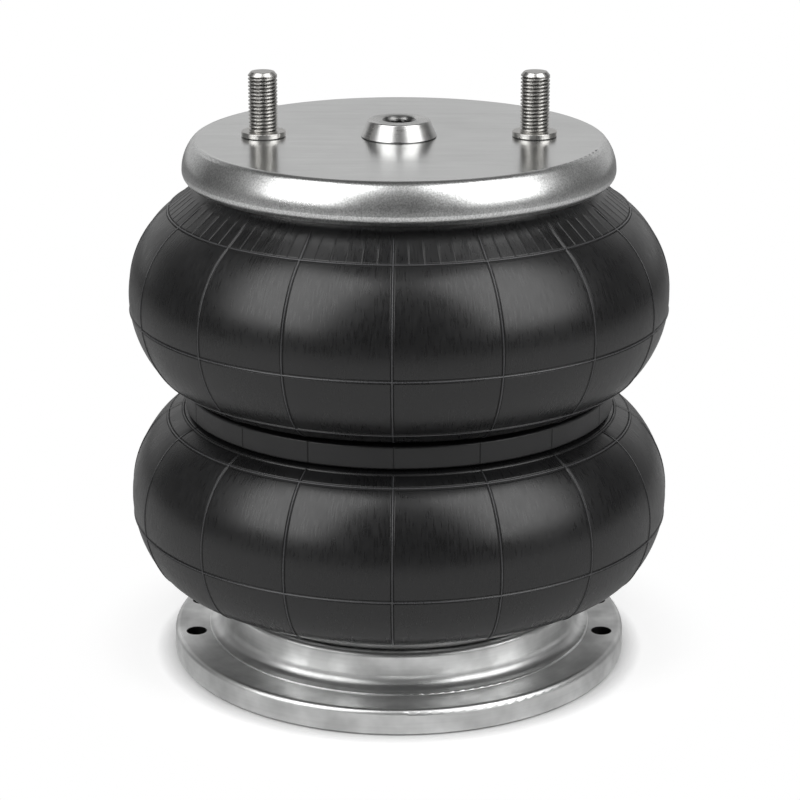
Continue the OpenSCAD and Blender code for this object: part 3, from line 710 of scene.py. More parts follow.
def wall_height(outline, at, angles, rings, lines, ticks=None):
    """Relief on the cover, rows by columns: the higher of the mould rings, the mould lines
    and the ticks, less the grooves along their feet. Lines and ticks fade at their ends."""
    radius = rows_at(outline, at)[:, :1]
    line_off = np.radians(nearest_line(angles, line_angles())) * radius
    along = faded(at, *lines, LINE_FADE)[:, None]
    raised = [ridge(line_off, LINE_HALF_W, LINE_H) * along]
    sunk = [groove(line_off, LINE_HALF_W) * along]
    for middle, half_width, high in rings:
        raised.append(ridge(at - middle, half_width, high)[:, None] + 0 * line_off)
        sunk.append(groove(at - middle, half_width)[:, None] * high / RING_H + 0 * line_off)
    if ticks is not None:
        tick_angles, low, high = ticks
        tick_off = np.radians(nearest_line(angles, tick_angles)) * radius
        tick_along = faded(at, low, high, TICK_FADE)[:, None]
        raised.append(ridge(tick_off, TICK_HALF_W, TICK_H) * tick_along)
        dash = ridge(at - high - DASH_UP, TICK_HALF_W, TICK_H)[:, None]
        raised.append(dash * np.clip(np.abs(tick_off) / DASH_GAP - 1, 0, 1))
    raised = np.max(raised, axis=0)
    return raised - np.max(sunk, axis=0) * np.clip(1 - raised / (GROOVE_FILLED * LINE_H), 0, 1)


def round_points(rows, angles, lift=0.0):
    """Points of a section turned round the axis, rows by columns: each row's radius and height,
    moved by the lift along the row's normal, at each column's angle."""
    turn = np.radians(angles)
    radius = rows[:, 0, None] + lift * rows[:, 2, None] + 0 * turn
    height = rows[:, 1, None] + lift * rows[:, 3, None] + 0 * turn
    return np.stack([radius * np.cos(turn), radius * np.sin(turn), height], axis=2)


def relief_normals(rows, at, angles, lift):
    """Normals of the lifted wall: the section's normal, tilted by the relief's slope along
    the wall and round it."""
    turn = np.radians(angles)
    up_slope = np.gradient(lift, at, axis=0)
    wide = np.concatenate([turn[-1:] - 2 * np.pi, turn, turn[:1] + 2 * np.pi])
    round_lift = np.concatenate([lift[:, -1:], lift, lift[:, :1]], axis=1)
    round_slope = np.gradient(round_lift, wide, axis=1)[:, 1:-1] / rows[:, :1]
    n_r = rows[:, 2, None] + up_slope * rows[:, 3, None]
    n_z = rows[:, 3, None] - up_slope * rows[:, 2, None]
    cos, sin = np.cos(turn), np.sin(turn)
    normals = np.stack([n_r * cos + round_slope * sin, n_r * sin - round_slope * cos, n_z], axis=2)
    return normals / np.linalg.norm(normals, axis=2, keepdims=True)


def grid_faces(rows, columns, closed):
    """Four-sided faces of a grid whose columns go all the way round, and whose last row
    joins the first where it is closed."""
    low = np.arange(rows if closed else rows - 1)[:, None]
    high = (low + 1) % rows
    left = np.arange(columns)[None, :]
    right = (left + 1) % columns
    below, above = low * columns, high * columns
    corners = [below + left, below + right, above + right, above + left]
    return np.stack(corners, axis=2).reshape(-1, 4)


def new_piece(name, points, faces, material):
    """A smooth mesh object from points and faces, at the origin, with one material."""
    mesh = bpy.data.meshes.new(name)
    mesh.from_pydata(points.reshape(-1, 3).tolist(), [], faces.tolist())
    mesh.polygons.foreach_set("use_smooth", np.ones(len(mesh.polygons), bool))
    mesh.materials.append(material)
    mesh.update()
    piece = bpy.data.objects.new(name, mesh)
    bpy.context.scene.collection.objects.link(piece)
    return piece


def set_relief(mesh, relief):
    """The mesh's relief attribute: one value for each of its first points, and 0 for the rest."""
    values = np.zeros(len(mesh.vertices), np.float32)
    values[: relief.size] = relief.ravel()
    mesh.attributes.new("relief", "FLOAT", "POINT").data.foreach_set("value", values)


def set_wall_map(mesh, rows, columns, angles, along, map_radius):
    """The wall's own UV map in metres: the way round at one radius, and the way up the wall.
    Faces of the last column carry on past the full turn, so the map has no folded face."""
    face = np.arange(len(mesh.polygons))
    row, column = face // columns, face % columns
    turn = np.radians(np.append(angles, angles[0] + 360)) * map_radius
    next_row = (row + 1) % rows
    u = np.stack([turn[column], turn[column + 1], turn[column + 1], turn[column]], axis=1)
    v = np.stack([along[row], along[row], along[next_row], along[next_row]], axis=1)
    layer = mesh.uv_layers.new(name="wall_map")
    layer.uv.foreach_set("vector", np.stack([u, v], axis=2).astype(np.float32).ravel())


def wall_layer(name, outline, at, angles, depth, thickness, material, lift=None):
    """One layer of the wall as a closed ring-shaped shell. Its outside is the outline moved
    in by depth and out by the relief, its inside is thickness further in on every third row,
    and its normals are the relief's own, so that two shells that meet show no seam."""
    rows = rows_at(outline, at)
    inner_at = np.append(at[:-1:3], at[-1])[::-1]
    inner_rows = rows_at(outline, inner_at)
    relief = np.zeros((len(at), len(angles))) if lift is None else lift
    outside = round_points(rows, angles, relief - depth)
    inside = round_points(inner_rows, angles, -depth - thickness)
    points = np.concatenate([outside, inside])
    faces = grid_faces(len(points), len(angles), True)
    piece = new_piece(name, points, faces, material)
    inner_normals = -relief_normals(inner_rows, inner_at[::-1], angles, 0 * inside[:, :, 0])
    normals = np.concatenate([relief_normals(rows, at, angles, relief), inner_normals])
    set_wall_map(
        piece.data, len(points), len(angles), angles, np.concatenate([at, inner_at]), LOWER_CROWN_R
    )
    piece.data.normals_split_custom_set_from_vertices(normals.reshape(-1, 3).tolist())
    if lift is not None:
        set_relief(piece.data, np.where(lift > 0, lift / LINE_H, lift / GROOVE_D))
    return piece


def wall_rows(low, high, middles):
    """Distances of a wall piece's rows: every ROW_STEP, and close together across each ring."""
    plain = np.linspace(low, high, max(2, int((high - low) / ROW_STEP)) + 1)
    close = [middle + side * RING_ROWS for middle in middles for side in (-1, 1)]
    clear = np.ones(len(plain), bool)
    for middle in middles:
        clear &= np.abs(plain - middle) > RING_ROWS[-1]
    clear[[0, -1]] = True
    every = np.concatenate([plain[clear], *close])
    every = every[(every >= low - 1e-7) & (every <= high + 1e-7)]
    return np.unique(every.round(6))


def throat_arc(side, start, end):
    """The wall's fillet over (1) or under (-1) the girdle band."""
    centre = (THROAT_R + THROAT_ROUND, GIRDLE_Z + side * (THROAT_HALF_H - THROAT_ROUND))
    return arc(centre, THROAT_ROUND, start, end, -1)


lower_crown_c = (LOWER_CROWN_R - CROWN_ARC_R, GIRDLE_Z - CROWN_RISE)
half_sine = math.sin(math.radians(CROWN_HALF))
flank_arc_r = (CROWN_RISE - THROAT_HALF_H - CROWN_ARC_R * half_sine) / (1 - half_sine)
lower_flank_c = on_arc(lower_crown_c, CROWN_ARC_R - flank_arc_r, CROWN_HALF)
foot_c = on_arc(lower_crown_c, CROWN_ARC_R - FOOT_ARC_R, -FOOT_START)
lower_neck_r = foot_c[0] - NECK_INSET
foot_round_c = (lower_neck_r + FOOT_ROUND, DECK_Z + FOOT_ROUND_RISE)
# The sole is the flat arc that joins the foot arc's lowest point to the neck's fillet
sole_run = foot_c[0] - foot_round_c[0]
sole_rise = foot_c[1] - FOOT_ARC_R - foot_round_c[1]
sole_r = (sole_run**2 + sole_rise**2 - FOOT_ROUND**2) / (2 * (FOOT_ROUND - sole_rise))
sole_c = (foot_c[0], foot_c[1] - FOOT_ARC_R + sole_r)
sole_turn = math.degrees(math.asin(sole_run / (sole_r + FOOT_ROUND)))
lower_outline = np.vstack(
    [
        [[lower_neck_r, LOWER_WALL_FOOT_Z, 1, 0]],
        arc(foot_round_c, FOOT_ROUND, 180, 90 - sole_turn, -1),
        arc(sole_c, sole_r, -90 - sole_turn, -90),
        arc(foot_c, FOOT_ARC_R, -90, -FOOT_START),
        arc(lower_crown_c, CROWN_ARC_R, -FOOT_START, CROWN_HALF),
        arc(lower_flank_c, flank_arc_r, CROWN_HALF, 90),
        throat_arc(-1, 270, 180),
        [[THROAT_R, GIRDLE_Z - HALF_BOND, 1, 0]],
    ]
)
lower_length = distances(lower_outline)[-1]
lower_split = distance_at(lower_outline, on_arc(lower_crown_c, CROWN_ARC_R, LOWER_RING_ANGLES[1]))
lower_ring = distance_at(lower_outline, on_arc(lower_flank_c, flank_arc_r, LOWER_RING_ANGLES[0]))
girdle_ring = distance_at(lower_outline, on_arc(lower_flank_c, flank_arc_r, GIRDLE_RING_ANGLE))
lower_rings = [(lower_split, *MOULD_RING), (lower_ring, *MOULD_RING), (girdle_ring, *GIRDLE_RING)]
lower_lines = (
    distance_at(lower_outline, on_arc(foot_c, FOOT_ARC_R, -90)) - 0.75 * LINE_FADE,
    distance_at(lower_outline, on_arc(lower_flank_c, flank_arc_r, LINES_END_ANGLE)),
)

COVER_ROUGHNESS = 0.31
COVER_STRETCH = 0.12
LINER_COLOR = (0.02, 0.02, 0.02)
LINER_ROUGHNESS = 0.5

cover_rubber = moulded_rubber(
    "cover_rubber",
    RUBBER_COLOR,
    COVER_ROUGHNESS,
    own_map="wall_map",
    stretch=COVER_STRETCH,
    grain_depth=0.025 * MM,
    own_relief="relief",
)
liner_rubber = moulded_rubber(
    "liner_rubber", LINER_COLOR, LINER_ROUGHNESS, own_map="wall_map", grain_depth=0.01 * MM
)

# Cord ply: thin parallel cords pressed into brown rubber, at a slant across the wall.
CORD_SCALE = 900.0
CORD_SLANT = 52
CORD_COLOR = (0.10, 0.075, 0.045)
CORD_D = 0.12 * MM
# From the gap between two cords to a cord's back
CORD_SHADE = (0.55, 1.25)
CORD_ROUGHNESS = (0.7, 0.5)
FLECK_SCALE = 500.0
FLECK_SHADE = (0.85, 1.15)


def cord_ply(name, slant):
    """Rubberised cord fabric whose cords run at a slant to the way up the wall."""
    material, tree, shader, _ = new_material(name)
    place = add_node(tree, "ShaderNodeUVMap", uv_map="wall_map").outputs[0]
    turned = add_node(
        tree, "ShaderNodeMapping", {"Vector": place, "Rotation": (0, 0, math.radians(slant))}
    ).outputs[0]
    cords = add_node(
        tree,
        "ShaderNodeTexWave",
        {"Vector": turned, "Scale": CORD_SCALE / (2 * math.pi), "Distortion": 0.4, "Detail": 1.0},
        bands_direction="X",
    ).outputs["Fac"]
    shade = math_node(
        tree,
        "MULTIPLY",
        spread(tree, cords, 0.0, 1.0, *CORD_SHADE),
        patches(tree, noise(tree, turned, FLECK_SCALE), *FLECK_SHADE),
    )
    tree.links.new(shaded(tree, CORD_COLOR, shade), shader.inputs["Base Color"])
    tree.links.new(spread(tree, cords, 0.0, 1.0, *CORD_ROUGHNESS), shader.inputs["Roughness"])
    bumped(tree, shader, math_node(tree, "MULTIPLY", cords, CORD_D))
    return material


layer_finishes = {
    "outer_ply": cord_ply("outer_cord_ply", CORD_SLANT),
    "inner_ply": cord_ply("inner_cord_ply", -CORD_SLANT),
    "liner": liner_rubber,
}
layer_slots = {"outer_ply": "cord_ply", "inner_ply": "cord_ply", "liner": "liner_rubber"}
PLAIN_COLUMNS = np.linspace(0, 360, 97)[:-1]


def wall_part(half, part, outline, stretch, rings, lines, bodies, bend, ticks=None):
    """All four layers of one stretch of the upper or lower half of the wall. bodies and bend aren't
    used."""
    angles = wall_columns(TICKS_BETWEEN if ticks else 0)
    at = wall_rows(*stretch, [ring[0] for ring in rings])
    lift = wall_height(outline, at, angles, rings, lines, ticks)
    cover = wall_layer(f"{half}_cover_{part}", outline, at, angles, *COVER, cover_rubber, lift)
    shells = [(cover, f"{half}_cover", "cover_rubber")]
    plain_at = wall_rows(*stretch, [])
    for layer, (depth, thickness) in PLIES.items():
        finish = layer_finishes[layer]
        shell = wall_layer(
            f"{half}_{layer}_{part}", outline, plain_at, PLAIN_COLUMNS, depth, thickness, finish
        )
        shells.append((shell, f"{half}_{layer}", layer_slots[layer]))
    for shell, node, slot in shells:
        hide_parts(node)
        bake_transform(shell)


LOWER_FOOT_BEND = (40 * MM, 64 * MM)
LOWER_CROWN_BEND = (66 * MM, 111.5 * MM)

lower_marks = (lower_rings, lower_lines)
wall_part(
    "lower",
    "foot",
    lower_outline,
    (0, lower_split),
    *lower_marks,
    ("base", "lower_crown"),
    LOWER_FOOT_BEND,
)
wall_part(
    "lower",
    "crown",
    lower_outline,
    (lower_split, lower_length),
    *lower_marks,
    ("lower_crown", "girdle"),
    LOWER_CROWN_BEND,
)


# ---- Girdle ----
# A rubber band moulded round a steel hoop. It lies in the gap between the two
# convolutions and keeps the wall's throat from blowing out.
BAND_R = 91 * MM
BAND_CLEAR = 0.3 * MM
BAND_EDGE = 0.9 * MM
HOOP_R = 85.15 * MM
HOOP_CAVITY_R = 4.05 * MM
BAND_LINE_W = 0.5 * MM
BAND_LINE_D = 0.22 * MM
BAND_COLOR = (0.009, 0.009, 0.0095)
BAND_ROUGHNESS = 0.42
# Millimetres over the girdle's middle, and degrees between rows of the corners and edges
BAND_FACE_ROWS = (-3.5, -3.0, -1.5, 0, 1.5, 3.0, 3.5)
CORNER_STEP = 3
EDGE_STEP = 5
# An edge that turns by more than this between two faces is left sharp
SHARP_ANGLE = math.radians(38)

half_h = THROAT_HALF_H - BAND_CLEAR
corner_r = THROAT_ROUND - BAND_CLEAR
inner_r, outer_r = THROAT_R + THROAT_ROUND, BAND_R - BAND_EDGE
band_columns = wall_columns()
band_section = np.vstack(
    [
        arc((inner_r, GIRDLE_Z - half_h + corner_r), corner_r, 180, 270, step=CORNER_STEP),
        arc((outer_r, GIRDLE_Z - half_h + BAND_EDGE), BAND_EDGE, 270, 360, step=EDGE_STEP),
        [[BAND_R, GIRDLE_Z + up * MM, 1, 0] for up in BAND_FACE_ROWS],
        arc((outer_r, GIRDLE_Z + half_h - BAND_EDGE), BAND_EDGE, 0, 90, step=EDGE_STEP),
        arc((inner_r, GIRDLE_Z + half_h - corner_r), corner_r, 90, 180, step=CORNER_STEP),
    ]
)
mark_off = np.radians(nearest_line(band_columns, line_angles())) * BAND_R
mark = -BAND_LINE_D * np.exp(-((mark_off / (BAND_LINE_W / 2)) ** 2))
on_face = np.clip((band_section[:, 0] - outer_r) / BAND_EDGE, 0, 1)[:, None]
skin = round_points(band_section, band_columns, mark * on_face)
cavity_section = arc((HOOP_R, GIRDLE_Z), HOOP_CAVITY_R, 360, 0, step=ROUND_STEP)[:-1]
cavity = round_points(cavity_section, PLAIN_COLUMNS)
skin_faces = grid_faces(len(band_section), len(band_columns), True)
cavity_faces = grid_faces(len(cavity_section), len(PLAIN_COLUMNS), True)
band = new_piece(
    "girdle_band_moulding",
    np.concatenate([skin.reshape(-1, 3), cavity.reshape(-1, 3)]),
    np.concatenate([skin_faces, cavity_faces + skin[:, :, 0].size]),
    moulded_rubber("band_rubber", BAND_COLOR, BAND_ROUGHNESS, own_relief="relief"),
)
# The sunk marks on the band get the rubber's painted groove shade
set_relief(band.data, mark * on_face / BAND_LINE_D)
band.data.set_sharp_from_angle(angle=SHARP_ANGLE)
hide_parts("girdle_band")
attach(band, "girdle")


# ---- Upper convolution ----
# The same four layers. Its shoulder runs up under the plate's rim as a cone,
# with fine vent ticks that the mould leaves between the rim and the first ring.
UPPER_CROWN_R = 113.4 * MM
SHOULDER_ARC_R = 34 * MM
SHOULDER_END = 51.7
NECK_R = 82.7 * MM
NECK_ROUND = 4 * MM
NECK_Z = 208.5 * MM
UPPER_WALL_TOP_Z = 211.35 * MM
UPPER_RING_ANGLES = (-45.7, -7.3)
SHOULDER_RING_UP = 2.2 * MM
TICKS_END = 1.5 * MM
UPPER_CROWN_BEND = (121 * MM, 154 * MM)
SHOULDER_BEND = (155 * MM, 206 * MM)

upper_crown_c = (UPPER_CROWN_R - CROWN_ARC_R, GIRDLE_Z + CROWN_RISE)
upper_flank_c = on_arc(upper_crown_c, CROWN_ARC_R - flank_arc_r, -CROWN_HALF)
shoulder_c = on_arc(upper_crown_c, CROWN_ARC_R - SHOULDER_ARC_R, CROWN_HALF)
neck_c = (NECK_R + NECK_ROUND, NECK_Z)
upper_outline = np.vstack(
    [
        [[THROAT_R, GIRDLE_Z + HALF_BOND, 1, 0]],
        throat_arc(1, 180, 90),
        arc(upper_flank_c, flank_arc_r, -90, -CROWN_HALF),
        arc(upper_crown_c, CROWN_ARC_R, -CROWN_HALF, CROWN_HALF),
        arc(shoulder_c, SHOULDER_ARC_R, CROWN_HALF, SHOULDER_END),
        arc(neck_c, NECK_ROUND, 180 + SHOULDER_END, 180, -1),
        [[NECK_R, UPPER_WALL_TOP_Z, 1, 0]],
    ]
)
upper_length = distances(upper_outline)[-1]
cone_foot = distance_at(upper_outline, on_arc(shoulder_c, SHOULDER_ARC_R, SHOULDER_END))
cone_top = distance_at(upper_outline, on_arc(neck_c, NECK_ROUND, 180 + SHOULDER_END))
shoulder_ring = cone_foot + SHOULDER_RING_UP
upper_split = distance_at(upper_outline, on_arc(upper_crown_c, CROWN_ARC_R, UPPER_RING_ANGLES[1]))
upper_ring = distance_at(upper_outline, on_arc(upper_flank_c, flank_arc_r, UPPER_RING_ANGLES[0]))
upper_rings = [(at, *MOULD_RING) for at in (upper_ring, upper_split, shoulder_ring)]
upper_lines = (
    distance_at(upper_outline, on_arc(upper_flank_c, flank_arc_r, -LINES_END_ANGLE)),
    cone_top,
)
tick_span = (line_angles(TICKS_BETWEEN), shoulder_ring, cone_top - TICKS_END)

upper_marks = (upper_rings, upper_lines)
wall_part(
    "upper",
    "crown",
    upper_outline,
    (0, upper_split),
    *upper_marks,
    ("girdle", "upper_crown"),
    UPPER_CROWN_BEND,
)
wall_part(
    "upper",
    "shoulder",
    upper_outline,
    (upper_split, upper_length),
    *upper_marks,
    ("upper_crown", "top"),
    SHOULDER_BEND,
    tick_span,
)


# ---- Upper bead plate ----
# Sheet steel like the lower plate, but bright zinc: its flat keeps the mill's smooth face,
# and its rolled rim is drawn open to a rough grain. The bump stop's plate is cut from it too.
ZINC_COLOR = (0.76, 0.765, 0.76)
SHEET_ROUGHNESS = 0.2
SHEET_CLOUD_SCALE = 28.0
SHEET_CLOUD_SHADE = (0.93, 1.05)
SHEET_CLOUD_MATT = 0.04
MILL_LINE_SHADE = (0.95, 1.04)
# The rim's rough finish begins where the flat bends down
RIM_START_R = 83.4 * MM
RIM_BLEND = 1.4 * MM
RIM_MATT = 0.1
RIM_CRYSTALS = (-0.24, 0.18)
FLAT_GRAIN_D = 0.001 * MM
RIM_GRAIN_D = 0.006 * MM
MILL_LINE_D = 0.004 * MM

# Faint lines left by the rolling mill, which run along X.
rolled_lines, into, out = new_group(
    "rolled_lines",
    [("Vector", "NodeSocketVector", None), ("Stretch", "NodeSocketFloat", 0.06)],
    [("Line", "NodeSocketFloat")],
)
axes = add_node(rolled_lines, "ShaderNodeSeparateXYZ", {0: into.outputs["Vector"]}).outputs
along_x = math_node(rolled_lines, "MULTIPLY", axes["X"], into.outputs["Stretch"])
along = add_node(
    rolled_lines, "ShaderNodeCombineXYZ", {0: along_x, 1: axes["Y"], 2: axes["Z"]}
).outputs[0]
rolled_lines.links.new(noise(rolled_lines, along, 420.0, 4.0, 0.6), out.inputs["Line"])

sheet_zinc, tree, shader, place = new_material("sheet_zinc", metallic=1.0)
grain = place_group(
    tree,
    metal_grain,
    {"Vector": place, "Grain Scale": GRAIN_SCALE, "Cloud Scale": SHEET_CLOUD_SCALE},
)
line = place_group(tree, rolled_lines, {"Vector": place})["Line"]
from_axis = vector_node(tree, "LENGTH", off_axis(tree, place))
drawn = spread(tree, from_axis, RIM_START_R, RIM_START_R + RIM_BLEND, 0.0, 1.0, smooth=True)
cloud_shade = patches(tree, grain["Cloud"], *SHEET_CLOUD_SHADE)
shade = math_node(tree, "MULTIPLY", cloud_shade, patches(tree, line, *MILL_LINE_SHADE))
crystals = spread(tree, grain["Grain"], CLOUD_LOW, CLOUD_HIGH, *RIM_CRYSTALS)
open_grain = math_node(tree, "ADD", 1.0, math_node(tree, "MULTIPLY", drawn, crystals))
shade = math_node(tree, "MULTIPLY", shade, open_grain)
tree.links.new(shaded(tree, ZINC_COLOR, shade), shader.inputs["Base Color"])
cloud_matt = patches(tree, grain["Cloud"], -SHEET_CLOUD_MATT, SHEET_CLOUD_MATT)
rim_matt = spread(tree, drawn, 0.0, 1.0, SHEET_ROUGHNESS, SHEET_ROUGHNESS + RIM_MATT)
tree.links.new(math_node(tree, "ADD", cloud_matt, rim_matt), shader.inputs["Roughness"])
grain_depth = spread(tree, drawn, 0.0, 1.0, FLAT_GRAIN_D, RIM_GRAIN_D)
grain_height = math_node(tree, "MULTIPLY", grain["Grain"], grain_depth)
line_height = math_node(tree, "MULTIPLY", line, MILL_LINE_D)
bumped(tree, shader, math_node(tree, "ADD", grain_height, line_height))
finish_nodes(sheet_zinc, "upper_bead_plate", "bump_plate")


# ---- Air inlet boss ----
# Turned steel boss brazed into the upper plate, with a pipe thread for the air
# fitting right through it.
PLATE_TOP_Z = 225.5 * MM
PLATE_T = 2.8 * MM
BOSS_BASE_R = 15.75 * MM
BOSS_TOP_R = 12.75 * MM
BOSS_H = 7 * MM
SPIGOT_R = 9.5 * MM
PORT_R = 5.725 * MM
PORT_MOUTH_R = 6.9 * MM
PORT_PITCH = 1.337 * MM
PORT_THREAD_D = 0.8 * MM
BOSS_ROUND = 0.7 * MM
FOOT_CHAMFER = 0.35 * MM
MOUTH_CHAMFER = (0.15 * MM, 0.1 * MM)
# A thread's rows per turn, and the shares of its pitch that its crest and flanks take
ROWS_PER_TURN = 12
THREAD_CREST = 0.25
THREAD_FLANKS = 0.65
ON_SURFACE = 1e-6
FITTING_COLOR = (0.7, 0.7, 0.69)
FITTING_ROUGHNESS = 0.27
# Painted shade in the bore, and more in its thread's root and on the mouth, and a painted
# shadow at the foot
BORE_PAINTED_SHADE, ROOT_PAINTED_SHADE = 0.75, 0.25
FOOT_PAINTED_SHADOW = 0.8
MOUTH_PAINTED_SHADE = 0.65


def thread_cut(turns):
    """Depth of a thread's groove, from 0 on the crest to 1 at the root, over the turns made
    so far: a flat crest, two straight flanks and a narrow flat root."""
    wave = np.abs(2 * (turns % 1) - 1)
    return np.clip((wave - THREAD_CREST) / THREAD_FLANKS, 0, 1)


def thread_rows(radius, heights, side):
    """Rows of a plain cylinder at these heights, with its normal outwards (1) or inwards (-1)."""
    return np.column_stack([0 * heights + radius, heights, 0 * heights + side, 0 * heights])


mouth_h = PORT_MOUTH_R - PORT_R
lean = math.atan2(BOSS_BASE_R - BOSS_TOP_R, BOSS_H)
edge_c = (BOSS_TOP_R - BOSS_ROUND * (1 / math.cos(lean) - math.tan(lean)), BOSS_H - BOSS_ROUND)
bore_z = np.arange(BOSS_H - mouth_h, -PLATE_T, -PORT_PITCH / ROWS_PER_TURN)
boss_section = np.vstack(
    [
        [
            [SPIGOT_R, -PLATE_T, 1, 0],
            [SPIGOT_R, 0, 1, 0],
            [BOSS_BASE_R - FOOT_CHAMFER, 0, 1, 0],
            [BOSS_BASE_R - 0.4 * FOOT_CHAMFER, FOOT_CHAMFER, 1, 0],
            [BOSS_BASE_R - 0.5 * FOOT_CHAMFER, 1.2 * FOOT_CHAMFER, 1, 0],
        ],
        arc(edge_c, BOSS_ROUND, math.degrees(lean), 90, step=ROUND_STEP),
        [
            [PORT_MOUTH_R + MOUTH_CHAMFER[0], BOSS_H, -1, 0],
            [PORT_MOUTH_R, BOSS_H - MOUTH_CHAMFER[1], -1, 0],
        ],
        thread_rows(PORT_R, bore_z, -1),
        [[PORT_R, -PLATE_T, -1, 0]],
    ]
)
boss_r, boss_up = boss_section[:, :1], boss_section[:, 1:2]
boss_columns = np.linspace(0, 360, 97)[:-1]
in_bore = np.clip((BOSS_H - 0.4 * mouth_h - boss_up) / PORT_PITCH, 0, 1)
in_bore = in_bore * (np.abs(boss_r - PORT_R) < ON_SURFACE)
port_depth = thread_cut(boss_up / PORT_PITCH - boss_columns / 360) * in_bore
boss_points = round_points(boss_section, boss_columns, -PORT_THREAD_D * port_depth)
boss_points[:, :, 2] += PLATE_TOP_Z
fitting_zinc = turned_metal(
    "fitting_zinc",
    FITTING_COLOR,
    FITTING_ROUGHNESS,
    line_scale=1400.0,
    line_depth=0.003 * MM,
    grain_depth=0.004 * MM,
    own_relief="relief",
)
boss_faces = grid_faces(len(boss_section), len(boss_columns), True)
boss = new_piece("threaded_inlet_boss", boss_points, boss_faces, fitting_zinc)
# Painted shade in the bore, thread root and mouth, and a painted shadow along the foot
at_foot = (boss_r > SPIGOT_R) & (boss_up < 1.1 * FOOT_CHAMFER)
at_mouth = boss_r < PORT_MOUTH_R + ON_SURFACE
boss_painted_shade = np.maximum(BORE_PAINTED_SHADE * in_bore + ROOT_PAINTED_SHADE * port_depth, FOOT_PAINTED_SHADOW * at_foot)
set_relief(boss.data, -np.maximum(boss_painted_shade, MOUTH_PAINTED_SHADE * at_mouth))
boss.data.set_sharp_from_angle(angle=SHARP_ANGLE)
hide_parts("inlet_boss")
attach(boss, "top")


# ---- Mounting studs ----
# Rolled-thread steel studs, knurled and pressed through the plate from inside,
# with a collar that seats on its outer face.
STUD_X = 56 * MM
STUD_R = 6 * MM
STUD_PITCH = 1.5 * MM
STUD_THREAD_D = 0.8 * MM
STUD_LEN = 27 * MM
STUD_TIP = 1.6 * MM
TIP_INSET = 1.0 * MM
TIP_ROUND = 0.4 * MM
KNURL_R = 6.4 * MM
COLLAR_R = 9.2 * MM
COLLAR_H = 2.3 * MM
COLLAR_ROUND = 0.35 * MM
HEAD_R = 10 * MM
HEAD_H = 3.5 * MM
HEAD_CHAMFER = 0.5 * MM
THREAD_FOOT = 2.35 * MM
THREAD_RUN_OUT = 0.3 * STUD_PITCH
STUD_COLOR = (0.62, 0.61, 0.59)
STUD_CLOUD_SHADE = (0.93, 1.05)
STUD_ROUGHNESS = (0.26, 0.36)
STUD_ROOT_SHADE = 0.3

shank_z = np.arange(THREAD_FOOT, STUD_LEN - STUD_TIP, STUD_PITCH / ROWS_PER_TURN)
cone_c = (STUD_R - TIP_ROUND, STUD_LEN - STUD_TIP)
end_c = (STUD_R - TIP_INSET - TIP_ROUND, STUD_LEN - TIP_ROUND)
collar_c = (COLLAR_R - COLLAR_ROUND, COLLAR_H - COLLAR_ROUND)
tip_arc = np.vstack(
    [
        arc(cone_c, TIP_ROUND, 0, 30, step=ROUND_STEP),
        arc(end_c, TIP_ROUND, 30, 90, step=ROUND_STEP),
    ]
)
stud_section = np.vstack(
    [
        [
            [0, -PLATE_T - HEAD_H, 0, -1],
            [HEAD_R - HEAD_CHAMFER, -PLATE_T - HEAD_H, 0, -1],
            [HEAD_R, -PLATE_T - HEAD_H + HEAD_CHAMFER, 1, 0],
            [HEAD_R, -PLATE_T, 1, 0],
            [KNURL_R, -PLATE_T, 1, 0],
            [KNURL_R, 0, 1, 0],
            [COLLAR_R - FOOT_CHAMFER, 0, 1, 0],
            [COLLAR_R, FOOT_CHAMFER, 1, 0],
            [COLLAR_R, 1.2 * FOOT_CHAMFER, 1, 0],
        ],
        arc(collar_c, COLLAR_ROUND, 0, 90, step=ROUND_STEP),
        [[STUD_R, COLLAR_H, 0, 1]],
        thread_rows(STUD_R, shank_z, 1),
        tip_arc,
        [[0, STUD_LEN, 0, 1]],
    ]
)
stud_columns = np.linspace(0, 360, 73)[:-1]
stud_r, stud_up = stud_section[:, :1], stud_section[:, 1:2]
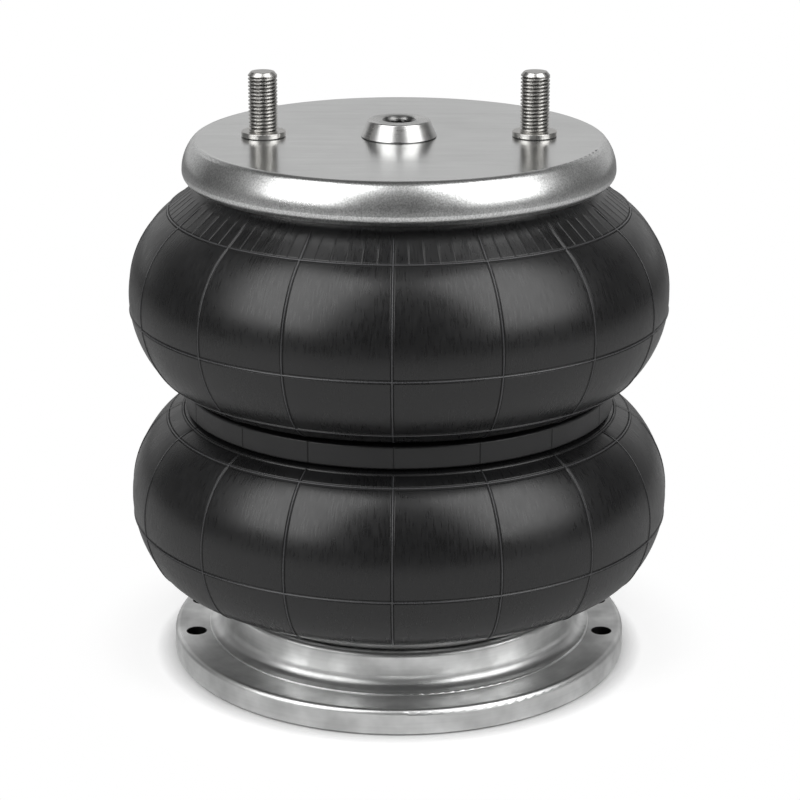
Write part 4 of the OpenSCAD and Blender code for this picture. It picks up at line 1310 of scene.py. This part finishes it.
on_shank = (
    np.clip((stud_up - THREAD_FOOT) / THREAD_RUN_OUT, 0, 1)
    * np.clip((STUD_LEN - STUD_TIP - stud_up) / THREAD_RUN_OUT, 0, 1)
    * (stud_r > STUD_R - ON_SURFACE)
)
thread_depth = thread_cut(stud_up / STUD_PITCH - stud_columns / 360) * on_shank
one_stud = round_points(stud_section, stud_columns, -STUD_THREAD_D * thread_depth)
one_stud[:, :, 2] += PLATE_TOP_Z
both = np.stack([one_stud + [side * STUD_X, 0, 0] for side in (-1, 1)]).reshape(-1, 3)
stud_faces = grid_faces(len(stud_section), len(stud_columns), False)
stud_faces = np.concatenate([stud_faces, stud_faces + one_stud[:, :, 0].size])

# The thread's root is darkened as painted shade, so it is darker than the crests.
stud_steel, tree, shader, place = new_material("stud_steel", metallic=1.0)
grain = place_group(
    tree, metal_grain, {"Vector": place, "Grain Scale": 2500.0, "Cloud Scale": 160.0}
)
root = add_node(tree, "ShaderNodeAttribute", attribute_name="relief").outputs["Fac"]
shade = math_node(
    tree,
    "MULTIPLY",
    patches(tree, grain["Cloud"], *STUD_CLOUD_SHADE),
    spread(tree, root, -0.95, -0.25, STUD_ROOT_SHADE, 1.0),
)
tree.links.new(shaded(tree, STUD_COLOR, shade), shader.inputs["Base Color"])
tree.links.new(patches(tree, grain["Cloud"], *STUD_ROUGHNESS), shader.inputs["Roughness"])

studs = new_piece("threaded_mounting_studs", both, stud_faces, stud_steel)
# Painted shade in the thread's root, and a painted shadow round the collar's foot on the plate
collar_foot = (stud_r > KNURL_R) & (stud_up > -ON_SURFACE) & (stud_up < 1.1 * FOOT_CHAMFER)
stud_painted_shade = np.maximum(thread_depth, collar_foot)
set_relief(studs.data, -np.stack([stud_painted_shade, stud_painted_shade]))


def close_poles(piece):
    """Merges the points that lie together on the axis, so that each pole is one closed fan."""
    shape = bmesh.new()
    shape.from_mesh(piece.data)
    bmesh.ops.remove_doubles(shape, verts=shape.verts, dist=1e-7)
    bmesh.ops.dissolve_degenerate(shape, edges=shape.edges, dist=1e-9)
    shape.to_mesh(piece.data)
    shape.free()


close_poles(studs)
studs.data.set_sharp_from_angle(angle=SHARP_ANGLE)
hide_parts("mounting_studs")
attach(studs, "top")
